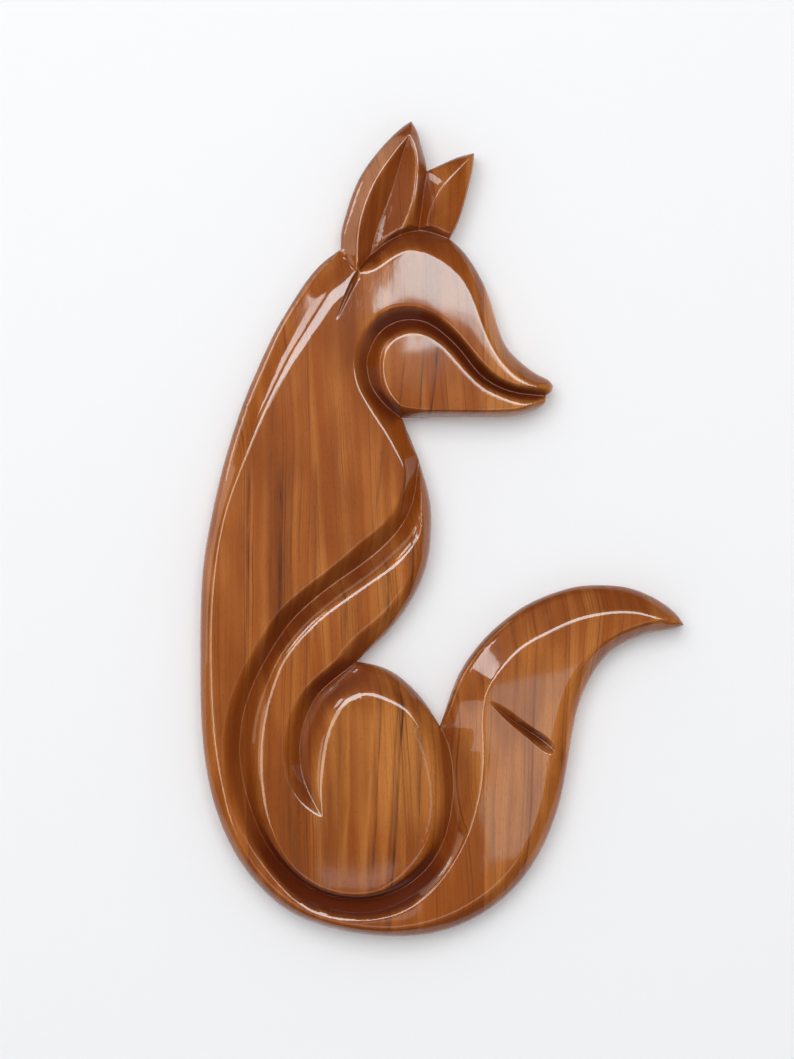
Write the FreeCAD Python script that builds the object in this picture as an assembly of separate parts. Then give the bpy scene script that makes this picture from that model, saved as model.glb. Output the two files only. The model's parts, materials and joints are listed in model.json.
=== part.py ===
import FreeCAD, Part
import os
from FreeCAD import Vector

# A fox sitting in profile, carved in relief from an edge-glued teak board and hung on a wall.
# Millimetres. +X is to the viewer's right, +Z is up and the carved front faces -Y.
# The origin is the middle of the hanger's keyhole, on the board's back.

# The board
figure_width = 297.0
figure_height = 500.0
board_thickness = 24.0
carve_depth = 10.0

# Glue lines, as shares of the width, and the level that parts the muzzle from the tail
spine_joint_share = 0.0961
back_joint_share = 0.2283
tail_joint_share = 0.5857
muzzle_level_share = 0.55

# Where the keyhole sits, as shares of the width and the height
hanger_x_share = 0.3705
hanger_z_share = 0.7858

# The steel hanger plate, let in flush
plate_length = 46.0
plate_width = 16.0
plate_thickness = 2.0
recess_clearance = 0.2
entry_diameter = 9.0
slot_width = 4.6
slot_rise = 8.0
pocket_width = 11.0
pocket_depth = 8.0

# Its two countersunk wood screws
screw_end_margin = 6.0
screw_length = 12.0
screw_diameter = 3.0
screw_head_diameter = 5.8
screw_tip_length = 3.0
screw_tip_diameter = 0.8
pilot_clearance = 0.05
pilot_overrun = 0.5
cut_overrun = 5.0

# Every rail below runs through (x share, z share, depth share): shares of the figure's width,
# its height and the carving depth. A row with no depth share lies on the flat front.
back_shares = [
    (0.2903, 0.8422, 0.80), (0.2593, 0.8300, 0.85), (0.2221, 0.8066, 0.90), (0.1890, 0.7772, 0.90),
    (0.1581, 0.7465, 0.90), (0.1250, 0.7060, 0.90), (0.0940, 0.6630, 0.85), (0.0692, 0.6212, 0.80),
    (0.0424, 0.5660, 0.70), (0.0217, 0.5107, 0.60), (0.0072, 0.4592, 0.55), (0.0010, 0.4002, 0.50),
    (0.0000, 0.3389, 0.50), (0.0010, 0.2836, 0.50), (0.0072, 0.2284, 0.50), (0.0217, 0.1780, 0.55),
    (0.0424, 0.1387, 0.55), (0.0754, 0.0982, 0.60), (0.1188, 0.0638, 0.60), (0.1746, 0.0344, 0.60),
    (0.2386, 0.0160, 0.60), (0.3130, 0.0049, 0.60), (0.3998, 0.0000, 0.60), (0.4866, 0.0049, 0.65),
    (0.5568, 0.0196, 0.70), (0.6188, 0.0430, 0.75), (0.6725, 0.0761, 0.80), (0.7118, 0.1154, 0.80),
    (0.7407, 0.1621, 0.80), (0.7572, 0.2099, 0.75), (0.7676, 0.2468, 0.75), (0.7820, 0.2848, 0.80),
    (0.8068, 0.3180, 0.85), (0.8399, 0.3450, 0.85), (0.8833, 0.3622, 0.80), (0.9370, 0.3732, 0.75),
    (0.9742, 0.3769, 0.70), (0.9990, 0.3818, 0.70),
]
tail_top_shares = [
    (0.9990, 0.3818, 0.70), (0.9824, 0.3953, 0.70), (0.9576, 0.4076, 0.80), (0.9246, 0.4187, 0.90),
    (0.8833, 0.4273, 0.95), (0.8316, 0.4303, 0.95), (0.7800, 0.4285, 0.95), (0.7283, 0.4199, 0.95),
    (0.6767, 0.4064, 0.95), (0.6312, 0.3880, 0.95), (0.5899, 0.3659, 0.95), (0.5548, 0.3401, 0.95),
    (0.5279, 0.3118, 0.95), (0.5114, 0.2848, 1.00), (0.4948, 0.2566, 1.00),
]
ear_one_left_low_shares = [
    (0.2903, 0.8422, 0.80), (0.2903, 0.8594, 0.75), (0.2986, 0.8815, 0.75), (0.3130, 0.9085, 0.75),
]
ear_one_left_top_shares = [
    (0.3130, 0.9085, 0.75), (0.3316, 0.9331, 0.75), (0.3585, 0.9564, 0.75), (0.3895, 0.9773, 0.70),
    (0.4143, 0.9908, 0.65), (0.4349, 0.9994, 0.60),
]
ear_one_right_shares = [
    (0.4349, 0.9994, 0.60), (0.4473, 0.9871, 0.65), (0.4556, 0.9711, 0.70), (0.4638, 0.9527, 0.75),
    (0.4680, 0.9380, 0.80),
]
ear_two_right_shares = [
    (0.5651, 0.9601, 0.55), (0.5630, 0.9454, 0.60), (0.5548, 0.9208, 0.65), (0.5424, 0.8938, 0.70),
    (0.5279, 0.8705, 0.75), (0.5134, 0.8557, 0.90),
]
forehead_shares = [
    (0.5134, 0.8557, 0.90), (0.5341, 0.8459, 0.90), (0.5548, 0.8312, 0.90), (0.5754, 0.8115, 0.90),
    (0.5919, 0.7907, 0.90), (0.6043, 0.7686, 0.90), (0.6167, 0.7440, 0.90), (0.6312, 0.7244, 0.90),
    (0.6539, 0.7084, 0.85), (0.6787, 0.6961, 0.80), (0.7014, 0.6875, 0.70), (0.7200, 0.6814, 0.65),
    (0.7283, 0.6753, 0.65),
]
lip_shares = [
    (0.7283, 0.6753, 0.65), (0.7242, 0.6679, 0.65), (0.7118, 0.6630, 0.65),
]
jaw_shares = [
    (0.7118, 0.6630, 0.65), (0.7138, 0.6581, 0.60), (0.7014, 0.6495, 0.55), (0.6808, 0.6433, 0.50),
    (0.6457, 0.6384, 0.50), (0.5775, 0.6372, 0.50), (0.4948, 0.6372, 0.60), (0.4494, 0.6366, 0.80),
    (0.4163, 0.6360, 1.00),
]
ear_base_shares = [
    (0.3254, 0.8128, 0.00), (0.3502, 0.8336, 0.80), (0.4143, 0.8607, 0.60), (0.4514, 0.8656, 1.00),
    (0.4680, 0.8656, 0.60), (0.5134, 0.8557, 0.90),
]
neck_shares = [
    (0.4163, 0.6360, 1.00), (0.4287, 0.6176, 1.00), (0.4411, 0.6004, 1.00), (0.4494, 0.5869, 1.00),
]
chest_shares = [
    (0.4494, 0.5869, 1.00), (0.4597, 0.5672, 0.85), (0.4700, 0.5451, 0.75), (0.4762, 0.5206, 0.70),
]
leg_shares = [
    (0.4762, 0.5206, 0.70), (0.4762, 0.4960, 0.70), (0.4721, 0.4702, 0.70), (0.4597, 0.4420, 0.75),
    (0.4390, 0.4162, 0.80), (0.4101, 0.3904, 0.85), (0.3771, 0.3671, 0.90), (0.3481, 0.3511, 0.95),
    (0.3213, 0.3364, 1.00),
]
haunch_top_shares = [
    (0.3213, 0.3364, 1.00), (0.3543, 0.3327, 0.95), (0.3895, 0.3254, 0.95), (0.4225, 0.3118, 0.95),
    (0.4535, 0.2934, 0.95), (0.4762, 0.2750, 0.97), (0.4948, 0.2566, 1.00),
]
main_valley_right_shares = [
    (0.4948, 0.2566, 1.00), (0.5072, 0.2406, 1.00), (0.5176, 0.2161, 1.00), (0.5217, 0.1866, 1.00),
    (0.5176, 0.1572, 1.00), (0.5052, 0.1240, 1.00), (0.4824, 0.0958, 1.00), (0.4473, 0.0724, 1.00),
    (0.4101, 0.0577, 1.00), (0.3667, 0.0479, 1.00), (0.3213, 0.0454, 1.00),
]
main_valley_left_shares = [
    (0.3213, 0.0454, 1.00), (0.2758, 0.0491, 1.00), (0.2324, 0.0589, 1.00), (0.1890, 0.0761, 1.00),
    (0.1498, 0.1019, 1.00), (0.1167, 0.1375, 1.00), (0.0940, 0.1768, 1.00), (0.0816, 0.2161, 1.00),
    (0.0837, 0.2554, 1.00), (0.0981, 0.2934, 1.00), (0.1229, 0.3266, 1.00), (0.1539, 0.3585, 1.00),
    (0.1911, 0.3892, 1.00), (0.2324, 0.4125, 1.00), (0.2800, 0.4346, 1.00), (0.3275, 0.4543, 1.00),
    (0.3709, 0.4751, 1.00), (0.4081, 0.4985, 1.00), (0.4329, 0.5242, 1.00),
]
main_valley_top_shares = [
    (0.4329, 0.5242, 1.00), (0.4452, 0.5537, 1.00), (0.4494, 0.5869, 1.00),
]
cheek_valley_shares = [
    (0.4163, 0.6360, 1.00), (0.3936, 0.6458, 1.00), (0.3709, 0.6593, 1.00), (0.3543, 0.6740, 1.00),
    (0.3461, 0.6900, 1.00), (0.3440, 0.7072, 1.00), (0.3523, 0.7231, 1.00), (0.3667, 0.7379, 1.00),
    (0.3874, 0.7489, 1.00), (0.4143, 0.7551, 1.00), (0.4452, 0.7563, 1.00), (0.4762, 0.7502, 1.00),
    (0.5072, 0.7366, 1.00), (0.5382, 0.7182, 1.00), (0.5671, 0.6961, 1.00), (0.5940, 0.6814, 1.00),
    (0.6250, 0.6716, 0.95), (0.6643, 0.6654, 0.80), (0.7118, 0.6630, 0.65),
]
inner_valley_shares = [
    (0.3213, 0.3364, 1.00), (0.2841, 0.3192, 1.00), (0.2469, 0.2996, 1.00), (0.2221, 0.2750, 1.00),
    (0.2076, 0.2468, 0.95), (0.2056, 0.2185, 0.90), (0.2138, 0.1928, 0.70), (0.2304, 0.1707, 0.40),
    (0.2531, 0.1473, 0.00),
]
ear_one_hollow_top_shares = [
    (0.4308, 0.9810, 0.10), (0.4163, 0.9552, 0.50), (0.3998, 0.9233, 0.70), (0.3874, 0.9024, 0.80),
]
ear_one_hollow_low_shares = [
    (0.3874, 0.9024, 0.80), (0.3667, 0.8692, 0.85), (0.3502, 0.8336, 0.80),
]
ears_valley_shares = [
    (0.4680, 0.9380, 0.80), (0.4618, 0.9184, 0.85), (0.4576, 0.8975, 0.90), (0.4535, 0.8791, 0.95),
    (0.4514, 0.8656, 1.00),
]
back_ridge_shares = [
    (0.3254, 0.8128), (0.3068, 0.8017), (0.2841, 0.7919), (0.2510, 0.7673), (0.2118, 0.7317),
    (0.1767, 0.6998), (0.1436, 0.6618), (0.1147, 0.6225), (0.0878, 0.5807), (0.0589, 0.5353),
    (0.0403, 0.4923), (0.0279, 0.4432), (0.0217, 0.3941), (0.0207, 0.3389), (0.0238, 0.2836),
    (0.0320, 0.2284), (0.0465, 0.1793), (0.0630, 0.1412), (0.0940, 0.1019), (0.1374, 0.0675),
    (0.1911, 0.0405), (0.2510, 0.0233), (0.3233, 0.0135), (0.3998, 0.0110), (0.4742, 0.0184),
    (0.5403, 0.0344), (0.5961, 0.0565), (0.6457, 0.0859), (0.6829, 0.1228), (0.7076, 0.1633),
    (0.7200, 0.2038), (0.7283, 0.2382), (0.7428, 0.2775), (0.7634, 0.3118), (0.7965, 0.3413),
    (0.8378, 0.3634), (0.8874, 0.3781), (0.9287, 0.3855), (0.9535, 0.3892),
]
tail_ridge_shares = [
    (0.9535, 0.3892), (0.9246, 0.3953), (0.8915, 0.3990), (0.8543, 0.3990), (0.8130, 0.3953),
    (0.7696, 0.3880), (0.7221, 0.3745), (0.6787, 0.3610), (0.6415, 0.3425), (0.6105, 0.3217),
    (0.5837, 0.2983), (0.5692, 0.2750), (0.5651, 0.2554),
]
groove_ridge_right_shares = [
    (0.5651, 0.2554), (0.5692, 0.2259), (0.5713, 0.1915), (0.5651, 0.1572), (0.5465, 0.1203),
    (0.5155, 0.0872), (0.4742, 0.0565), (0.4308, 0.0368), (0.3812, 0.0258), (0.3254, 0.0221),
]
groove_ridge_left_shares = [
    (0.3254, 0.0221), (0.2696, 0.0258), (0.2138, 0.0393), (0.1663, 0.0651), (0.1250, 0.0958),
    (0.0878, 0.1314), (0.0610, 0.1694), (0.0506, 0.2112), (0.0527, 0.2529), (0.0671, 0.2934),
    (0.0919, 0.3290), (0.1271, 0.3671), (0.1746, 0.4052), (0.2304, 0.4334), (0.2882, 0.4604),
    (0.3461, 0.4899), (0.3874, 0.5120), (0.4122, 0.5378),
]
groove_ridge_top_shares = [
    (0.4122, 0.5378), (0.4225, 0.5574), (0.4205, 0.5770),
]
neck_ridge_shares = [
    (0.4205, 0.5770), (0.4081, 0.5930), (0.3936, 0.6090), (0.3771, 0.6249),
]
cheek_groove_ridge_shares = [
    (0.3771, 0.6249), (0.3585, 0.6421), (0.3399, 0.6605), (0.3254, 0.6802), (0.3213, 0.7010),
    (0.3254, 0.7219), (0.3357, 0.7379), (0.3564, 0.7538), (0.3833, 0.7661), (0.4143, 0.7710),
    (0.4494, 0.7698), (0.4824, 0.7624), (0.5134, 0.7489), (0.5444, 0.7293), (0.5733, 0.7084),
    (0.6002, 0.6924), (0.6312, 0.6802), (0.6643, 0.6740), (0.6952, 0.6728),
]
brow_ridge_shares = [
    (0.6952, 0.6728), (0.6746, 0.6789), (0.6519, 0.6863), (0.6271, 0.7010), (0.6064, 0.7195),
    (0.5878, 0.7428), (0.5733, 0.7661), (0.5589, 0.7870), (0.5362, 0.8079), (0.5114, 0.8214),
    (0.4866, 0.8312),
]
crown_ridge_shares = [
    [(0.4866, 0.8312), (0.4680, 0.8367)],
    [(0.4680, 0.8367), (0.4494, 0.8398)],
    [(0.4494, 0.8398), (0.4349, 0.8410), (0.4122, 0.8379)],
    [(0.4122, 0.8379), (0.3915, 0.8312), (0.3709, 0.8226), (0.3481, 0.8152)],
    [(0.3481, 0.8152), (0.3254, 0.8128)],
]
haunch_groove_ridge_right_shares = [
    (0.4556, 0.2554), (0.4721, 0.2308), (0.4845, 0.2014), (0.4907, 0.1707), (0.4866, 0.1424),
    (0.4721, 0.1142), (0.4473, 0.0909), (0.4143, 0.0712), (0.3729, 0.0565), (0.3233, 0.0516),
]
haunch_groove_ridge_left_shares = [
    (0.3233, 0.0516), (0.2758, 0.0552), (0.2304, 0.0663), (0.1870, 0.0872), (0.1539, 0.1166),
    (0.1312, 0.1522), (0.1209, 0.1915), (0.1209, 0.2308), (0.1291, 0.2713), (0.1457, 0.3094),
    (0.1684, 0.3413), (0.2035, 0.3671), (0.2510, 0.3941), (0.3048, 0.4174), (0.3605, 0.4408),
    (0.4060, 0.4604), (0.4349, 0.4813), (0.4494, 0.4985), (0.4556, 0.5206),
]
leg_arris_shares = [
    (0.4556, 0.5206, 0.00), (0.4556, 0.5414, 0.30), (0.4535, 0.5648, 0.65), (0.4494, 0.5869, 1.00),
]
leg_ridge_shares = [
    (0.4556, 0.5206), (0.4576, 0.4972), (0.4514, 0.4715), (0.4390, 0.4457), (0.4184, 0.4236),
    (0.3874, 0.4015), (0.3502, 0.3818), (0.3171, 0.3646), (0.2903, 0.3450),
]
haunch_ridge_shares = [
    (0.3295, 0.2971), (0.3502, 0.2983), (0.3812, 0.2934), (0.4163, 0.2836), (0.4390, 0.2713),
    (0.4556, 0.2554),
]
leg_hollow_ridge_shares = [
    (0.2903, 0.3450), (0.2614, 0.3290), (0.2283, 0.3118), (0.1994, 0.2885), (0.1808, 0.2615),
    (0.1746, 0.2308), (0.1829, 0.1977), (0.2014, 0.1719), (0.2283, 0.1559), (0.2531, 0.1473),
]
haunch_hollow_ridge_shares = [
    (0.3295, 0.2971), (0.3048, 0.2910), (0.2820, 0.2775), (0.2634, 0.2554), (0.2510, 0.2259),
    (0.2448, 0.1977), (0.2469, 0.1707), (0.2531, 0.1473),
]
cheek_ridge_shares = [
    (0.4101, 0.6483), (0.3936, 0.6593), (0.3812, 0.6728), (0.3750, 0.6888), (0.3750, 0.7060),
    (0.3833, 0.7219), (0.3998, 0.7330), (0.4225, 0.7391), (0.4473, 0.7403), (0.4742, 0.7354),
    (0.5010, 0.7244), (0.5300, 0.7060), (0.5589, 0.6875), (0.5878, 0.6728), (0.6209, 0.6630),
    (0.6560, 0.6556), (0.6849, 0.6532),
]
jaw_ridge_shares = [
    (0.6849, 0.6532), (0.6725, 0.6483), (0.6395, 0.6446), (0.5775, 0.6433), (0.4948, 0.6433),
    (0.4432, 0.6440), (0.4101, 0.6483),
]
ear_one_left_ridge_low_shares = [
    (0.3254, 0.8128, 0.00), (0.3233, 0.8422, 0.00), (0.3275, 0.8668, 0.00), (0.3357, 0.8877, 0.00),
]
ear_one_left_ridge_top_shares = [
    (0.3357, 0.8877, 0.00), (0.3502, 0.9110, 0.00), (0.3688, 0.9331, 0.00), (0.3915, 0.9527, 0.05),
    (0.4122, 0.9687, 0.10), (0.4308, 0.9810, 0.10),
]
ear_one_right_ridge_top_shares = [
    (0.4308, 0.9810, 0.10), (0.4411, 0.9699, 0.10), (0.4473, 0.9527, 0.10), (0.4473, 0.9306, 0.15),
]
ear_one_right_ridge_low_shares = [
    (0.4473, 0.9306, 0.15), (0.4432, 0.9085, 0.20), (0.4349, 0.8889, 0.30), (0.4143, 0.8607, 0.60),
]
ear_two_ridge_shares = [
    (0.5651, 0.9601, 0.55), (0.5403, 0.9441, 0.25), (0.5176, 0.9294, 0.20), (0.4969, 0.9147, 0.20),
    (0.4824, 0.8999, 0.25), (0.4721, 0.8852, 0.35), (0.4680, 0.8656, 0.60),
]
tail_notch_floor_shares = [
    (0.5919, 0.2910, -0.05), (0.6250, 0.2726, 0.30), (0.6705, 0.2517, 0.45), (0.7118, 0.2333, 0.50),
    (0.7469, 0.2198, -0.05),
]
tail_notch_upper_shares = [
    (0.5919, 0.2910, -0.05), (0.6291, 0.2799, -0.05), (0.6808, 0.2591, -0.05), (0.7283, 0.2382, -0.05),
    (0.7469, 0.2198, -0.05),
]
tail_notch_lower_shares = [
    (0.5919, 0.2910, -0.05), (0.6188, 0.2664, -0.05), (0.6601, 0.2443, -0.05), (0.7035, 0.2259, -0.05),
    (0.7469, 0.2198, -0.05),
]
nape_floor_shares = [
    (0.3316, 0.8214, -0.05), (0.3192, 0.8066, 0.35), (0.3089, 0.7931, 0.35), (0.2965, 0.7759, 0.25),
    (0.2800, 0.7514, -0.05),
]
nape_left_shares = [
    (0.3316, 0.8214, -0.05), (0.3110, 0.8091, -0.05), (0.3006, 0.7931, -0.05), (0.2903, 0.7759, -0.05),
    (0.2800, 0.7514, -0.05),
]
nape_right_shares = [
    (0.3316, 0.8214, -0.05), (0.3316, 0.8042, -0.05), (0.3192, 0.7907, -0.05), (0.3027, 0.7735, -0.05),
    (0.2800, 0.7514, -0.05),
]


def spot(row, flat=False):
    """A row of shares as a point, on the carved front or squarely behind it on the back."""
    depth = carve_depth * row[2] if len(row) > 2 else 0
    front = 0 if flat else depth - board_thickness
    return Vector(figure_width * (row[0] - hanger_x_share), front, figure_height * (row[1] - hanger_z_share))


def smooth_run(*tables, flat=False):
    """One smooth curve through all the tables, returned as an edge for each table."""
    rows = list(tables[0])
    ends = [0, len(rows) - 1]
    for table in tables[1:]:
        rows += table[1:]
        ends.append(len(rows) - 1)
    plan = [spot(row, flat=True) for row in rows]
    along = [0]
    for last, point in zip(plan, plan[1:]):
        along.append(along[-1] + last.distanceToPoint(point))
    curve = Part.BSplineCurve()
    curve.interpolate(Points=[spot(row, flat) for row in rows], Parameters=along)
    return [curve.toShape(along[start], along[end]) for start, end in zip(ends, ends[1:])]


def straight_run(table, flat=False):
    """A straight edge from each row to the next."""
    points = [spot(row, flat) for row in table]
    return [Part.LineSegment(start, end).toShape() for start, end in zip(points, points[1:])]


def outline(flat=False):
    """The figure's edge as a dictionary of edges, clockwise from the back of the neck."""
    edges = {}
    edges["ear_one_low"], edges["ear_one_top"] = smooth_run(ear_one_left_low_shares, ear_one_left_top_shares,
                                                            flat=flat)
    edges["ear_one_right"] = smooth_run(ear_one_right_shares, flat=flat)[0]
    edges["ear_two_top"] = straight_run([ear_one_right_shares[-1], ear_two_right_shares[0]], flat)[0]
    edges["ear_two_right"] = smooth_run(ear_two_right_shares, flat=flat)[0]
    edges["forehead"] = smooth_run(forehead_shares, flat=flat)[0]
    edges["lip"] = straight_run([lip_shares[0], lip_shares[-1]], flat)[0]
    edges["jaw"] = smooth_run(jaw_shares, flat=flat)[0]
    edges["neck"], edges["chest"], edges["leg"] = smooth_run(neck_shares, chest_shares, leg_shares, flat=flat)
    edges["haunch"] = smooth_run(haunch_top_shares, flat=flat)[0]
    edges["tail"] = smooth_run(tail_top_shares, flat=flat)[0]
    edges["back"] = smooth_run(back_shares, flat=flat)[0]
    return edges


def ruled(first, second):
    """The straight-ruled surface that a skew chisel leaves between two rails."""
    return Part.makeRuledSurface(first, second)


def level_face(edges):
    """A flat face inside a closed loop of rails."""
    return Part.Face(Part.Wire(Part.__sortEdges__(edges)))


def solid_from(faces):
    """A closed solid sewn from faces that share their rails."""
    shell = Part.makeShell(faces)
    shell.sewShape()
    solid = Part.makeSolid(shell)
    if solid.Volume < 0:
        solid.reverse()
    return solid


def body_faces(edge, valley, ridge):
    """The bevel round the back and tail, and the outer wall of the long groove and the cheek groove."""
    faces = [ruled(edge["back"], ridge["back"]), ruled(edge["tail"], ridge["tail"])]
    faces += [ruled(valley[part], ridge["groove_" + part]) for part in ("right", "left", "top")]
    faces += [ruled(edge["neck"], ridge["neck"]), ruled(valley["cheek"], ridge["cheek_groove"])]
    faces += [ruled(edge["forehead"], ridge["brow"])]
    faces += [ruled(base, crown) for base, crown in zip(ridge["ear_base"], reversed(ridge["crown"]))]
    lip_corners = [spot(lip_shares[0]), spot(lip_shares[-1]), spot(brow_ridge_shares[0]), spot(lip_shares[0])]
    faces.append(Part.Face(Part.makePolygon(lip_corners)))
    flat = [ridge[name] for name in ("back", "tail", "groove_right", "groove_left", "groove_top", "neck")]
    faces.append(level_face(flat + [ridge["cheek_groove"], ridge["brow"]] + ridge["crown"]))
    return faces


def haunch_faces(edge, valley, ridge):
    """The foreleg and haunch: their bevels, the groove's inner wall and the hollow between them."""
    faces = [ruled(valley["right"], ridge["haunch_right"]), ruled(valley["left"], ridge["haunch_left"])]
    faces.append(ruled(valley["top"], ridge["arris"]))
    faces += [ruled(edge["chest"], ridge["arris"]), ruled(edge["leg"], ridge["leg"])]
    faces += [ruled(valley["inner"], ridge["leg_hollow"]), ruled(valley["inner"], ridge["haunch_hollow"])]
    faces += [ruled(edge["haunch"], ridge["haunch"])]
    flat = ("haunch_right", "haunch_left", "leg", "leg_hollow", "haunch_hollow", "haunch")
    faces.append(level_face([ridge[name] for name in flat]))
    return faces


def cheek_faces(edge, valley, ridge):
    """The teardrop cheek and the jaw's bevel."""
    faces = [ruled(valley["cheek"], ridge["cheek"]), ruled(edge["jaw"], ridge["jaw"])]
    faces.append(level_face([ridge["cheek"], ridge["jaw"]]))
    return faces


def ear_faces(edge, valley, ridge):
    """The near ear, hollowed between two ridges, and the far ear with one ridge."""
    faces = [ruled(edge["ear_one_low"], ridge["ear_one_low"]), ruled(edge["ear_one_top"], ridge["ear_one_top"])]
    faces += [ruled(ridge["ear_one_low"], valley["ear_low"]), ruled(ridge["ear_one_top"], valley["ear_top"])]
    faces += [ruled(valley["ear_top"], ridge["ear_right_top"]), ruled(valley["ear_low"], ridge["ear_right_low"])]
    faces += [ruled(edge["ear_one_right"], ridge["ear_right_top"]), ruled(valley["ears"], ridge["ear_right_low"])]
    faces += [ruled(valley["ears"], ridge["ear_two"]), ruled(edge["ear_two_right"], ridge["ear_two"])]
    return faces


def valleys():
    """The floors of the grooves and hollows."""
    floor = {}
    long_groove = smooth_run(main_valley_right_shares, main_valley_left_shares, main_valley_top_shares)
    floor["right"], floor["left"], floor["top"] = long_groove
    floor["cheek"] = smooth_run(cheek_valley_shares)[0]
    floor["inner"] = smooth_run(inner_valley_shares)[0]
    floor["ear_top"], floor["ear_low"] = smooth_run(ear_one_hollow_top_shares, ear_one_hollow_low_shares)
    floor["ears"] = smooth_run(ears_valley_shares)[0]
    return floor


def ridges():
    """The crests between the flats and the cuts."""
    crest = {"ear_base": straight_run(ear_base_shares)}
    crest["back"] = smooth_run(back_ridge_shares)[0]
    crest["tail"] = smooth_run(tail_ridge_shares)[0]
    names = ("groove_right", "groove_left", "groove_top", "neck", "cheek_groove")
    crest.update(zip(names, smooth_run(groove_ridge_right_shares, groove_ridge_left_shares,
                                       groove_ridge_top_shares, neck_ridge_shares, cheek_groove_ridge_shares)))
    crest["brow"], *crest["crown"] = smooth_run(brow_ridge_shares, *crown_ridge_shares)
    crest["haunch_right"], crest["haunch_left"] = smooth_run(haunch_groove_ridge_right_shares,
                                                             haunch_groove_ridge_left_shares)
    crest["arris"] = smooth_run(leg_arris_shares)[0]
    crest["leg"] = smooth_run(leg_ridge_shares)[0]
    crest["leg_hollow"] = smooth_run(leg_hollow_ridge_shares)[0]
    crest["haunch_hollow"] = smooth_run(haunch_hollow_ridge_shares)[0]
    crest["haunch"] = smooth_run(haunch_ridge_shares)[0]
    crest["cheek"] = smooth_run(cheek_ridge_shares)[0]
    crest["jaw"] = smooth_run(jaw_ridge_shares)[0]
    crest["ear_one_low"], crest["ear_one_top"] = smooth_run(ear_one_left_ridge_low_shares,
                                                            ear_one_left_ridge_top_shares)
    crest["ear_right_top"], crest["ear_right_low"] = smooth_run(ear_one_right_ridge_top_shares,
                                                                ear_one_right_ridge_low_shares)
    crest["ear_two"] = smooth_run(ear_two_ridge_shares)[0]
    return crest


def vee_cut(floor_shares, first_shares, second_shares):
    """A parting-tool cut: a floor between two lips that stand just clear of the front."""
    floor = smooth_run(floor_shares)[0]
    first = smooth_run(first_shares)[0]
    second = smooth_run(second_shares)[0]
    return solid_from([ruled(floor, first), ruled(floor, second), level_face([first, second])])


def carved_board():
    """The whole relief before it is parted along its glue lines."""
    edge = outline()
    behind = outline(flat=True)
    valley = valleys()
    ridge = ridges()
    faces = [ruled(edge[name], behind[name]) for name in edge]
    faces.append(level_face(list(behind.values())))
    faces += body_faces(edge, valley, ridge) + haunch_faces(edge, valley, ridge)
    faces += cheek_faces(edge, valley, ridge) + ear_faces(edge, valley, ridge)
    board = solid_from(faces)
    board = board.cut(vee_cut(tail_notch_floor_shares, tail_notch_upper_shares, tail_notch_lower_shares))
    return board.cut(vee_cut(nape_floor_shares, nape_left_shares, nape_right_shares))


def between(left_share, right_share, low_share, high_share):
    """A block as deep as the board between shares of the width and the height."""
    low = spot((left_share, low_share))
    high = spot((right_share, high_share))
    return Part.makeBox(high.x - low.x, board_thickness + 2 * cut_overrun, high.z - low.z,
                        Vector(low.x, -board_thickness - cut_overrun, low.z))


def staves(board):
    """The glued staves, parted by upright planes."""
    margin_share = 0.1
    low = -margin_share
    high = 1 + margin_share
    bounds = {
        "spine_stave": (low, spine_joint_share, low, high),
        "back_stave": (spine_joint_share, back_joint_share, low, high),
        "centre_stave": (back_joint_share, tail_joint_share, low, high),
        "muzzle_stave": (tail_joint_share, high, muzzle_level_share, high),
        "tail_stave": (tail_joint_share, high, low, muzzle_level_share),
    }
    return {name: board.common(between(*limits)) for name, limits in bounds.items()}


def upright_slot(width, rise, depth, low_z=0):
    """A round-ended upright slot going in from the back; rise is between the two end centres."""
    radius = width / 2
    start = Vector(0, -depth, low_z)
    ends = [Part.makeCylinder(radius, depth, start + Vector(0, 0, lift), Vector(0, 1, 0)) for lift in (0, rise)]
    middle = Part.makeBox(width, depth, rise, start - Vector(radius, 0, 0))
    return ends[0].fuse([ends[1], middle]).removeSplitter()


plate_centre_z = slot_rise / 2
screw_spacing = plate_length - 2 * screw_end_margin
screw_levels = {"hanger_screw_upper": plate_centre_z + screw_spacing / 2,
                "hanger_screw_lower": plate_centre_z - screw_spacing / 2}
countersink_depth = (screw_head_diameter - screw_diameter) / 2


def wood_screw(level):
    """A countersunk screw with its head flush with the back."""
    shank_start = -countersink_depth
    taper_start = screw_tip_length - screw_length
    shank_length = screw_length - countersink_depth - screw_tip_length
    inward = Vector(0, -1, 0)
    head = Part.makeCone(screw_head_diameter / 2, screw_diameter / 2, countersink_depth,
                         Vector(0, 0, level), inward)
    shank = Part.makeCylinder(screw_diameter / 2, shank_length, Vector(0, shank_start, level), inward)
    tip = Part.makeCone(screw_diameter / 2, screw_tip_diameter / 2, screw_tip_length,
                        Vector(0, taper_start, level), inward)
    return head.fuse([shank, tip]).removeSplitter()


def screw_seat(level):
    """The countersunk hole that a screw leaves in the plate."""
    inward = Vector(0, -1, 0)
    cone = Part.makeCone(screw_head_diameter / 2, screw_diameter / 2, countersink_depth,
                         Vector(0, 0, level), inward)
    hole = Part.makeCylinder(screw_diameter / 2 + pilot_clearance, plate_thickness, Vector(0, 0, level), inward)
    return cone.fuse(hole)


def hanger_plate():
    """The round-ended plate with its keyhole and two countersunk holes."""
    plate_rise = plate_length - plate_width
    plate = upright_slot(plate_width, plate_rise, plate_thickness, plate_centre_z - plate_rise / 2)
    entry = Part.makeCylinder(entry_diameter / 2, plate_thickness, Vector(0, 0, 0), Vector(0, -1, 0))
    slot = upright_slot(slot_width, slot_rise, plate_thickness)
    return plate.cut([entry, slot] + [screw_seat(level) for level in screw_levels.values()])


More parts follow.
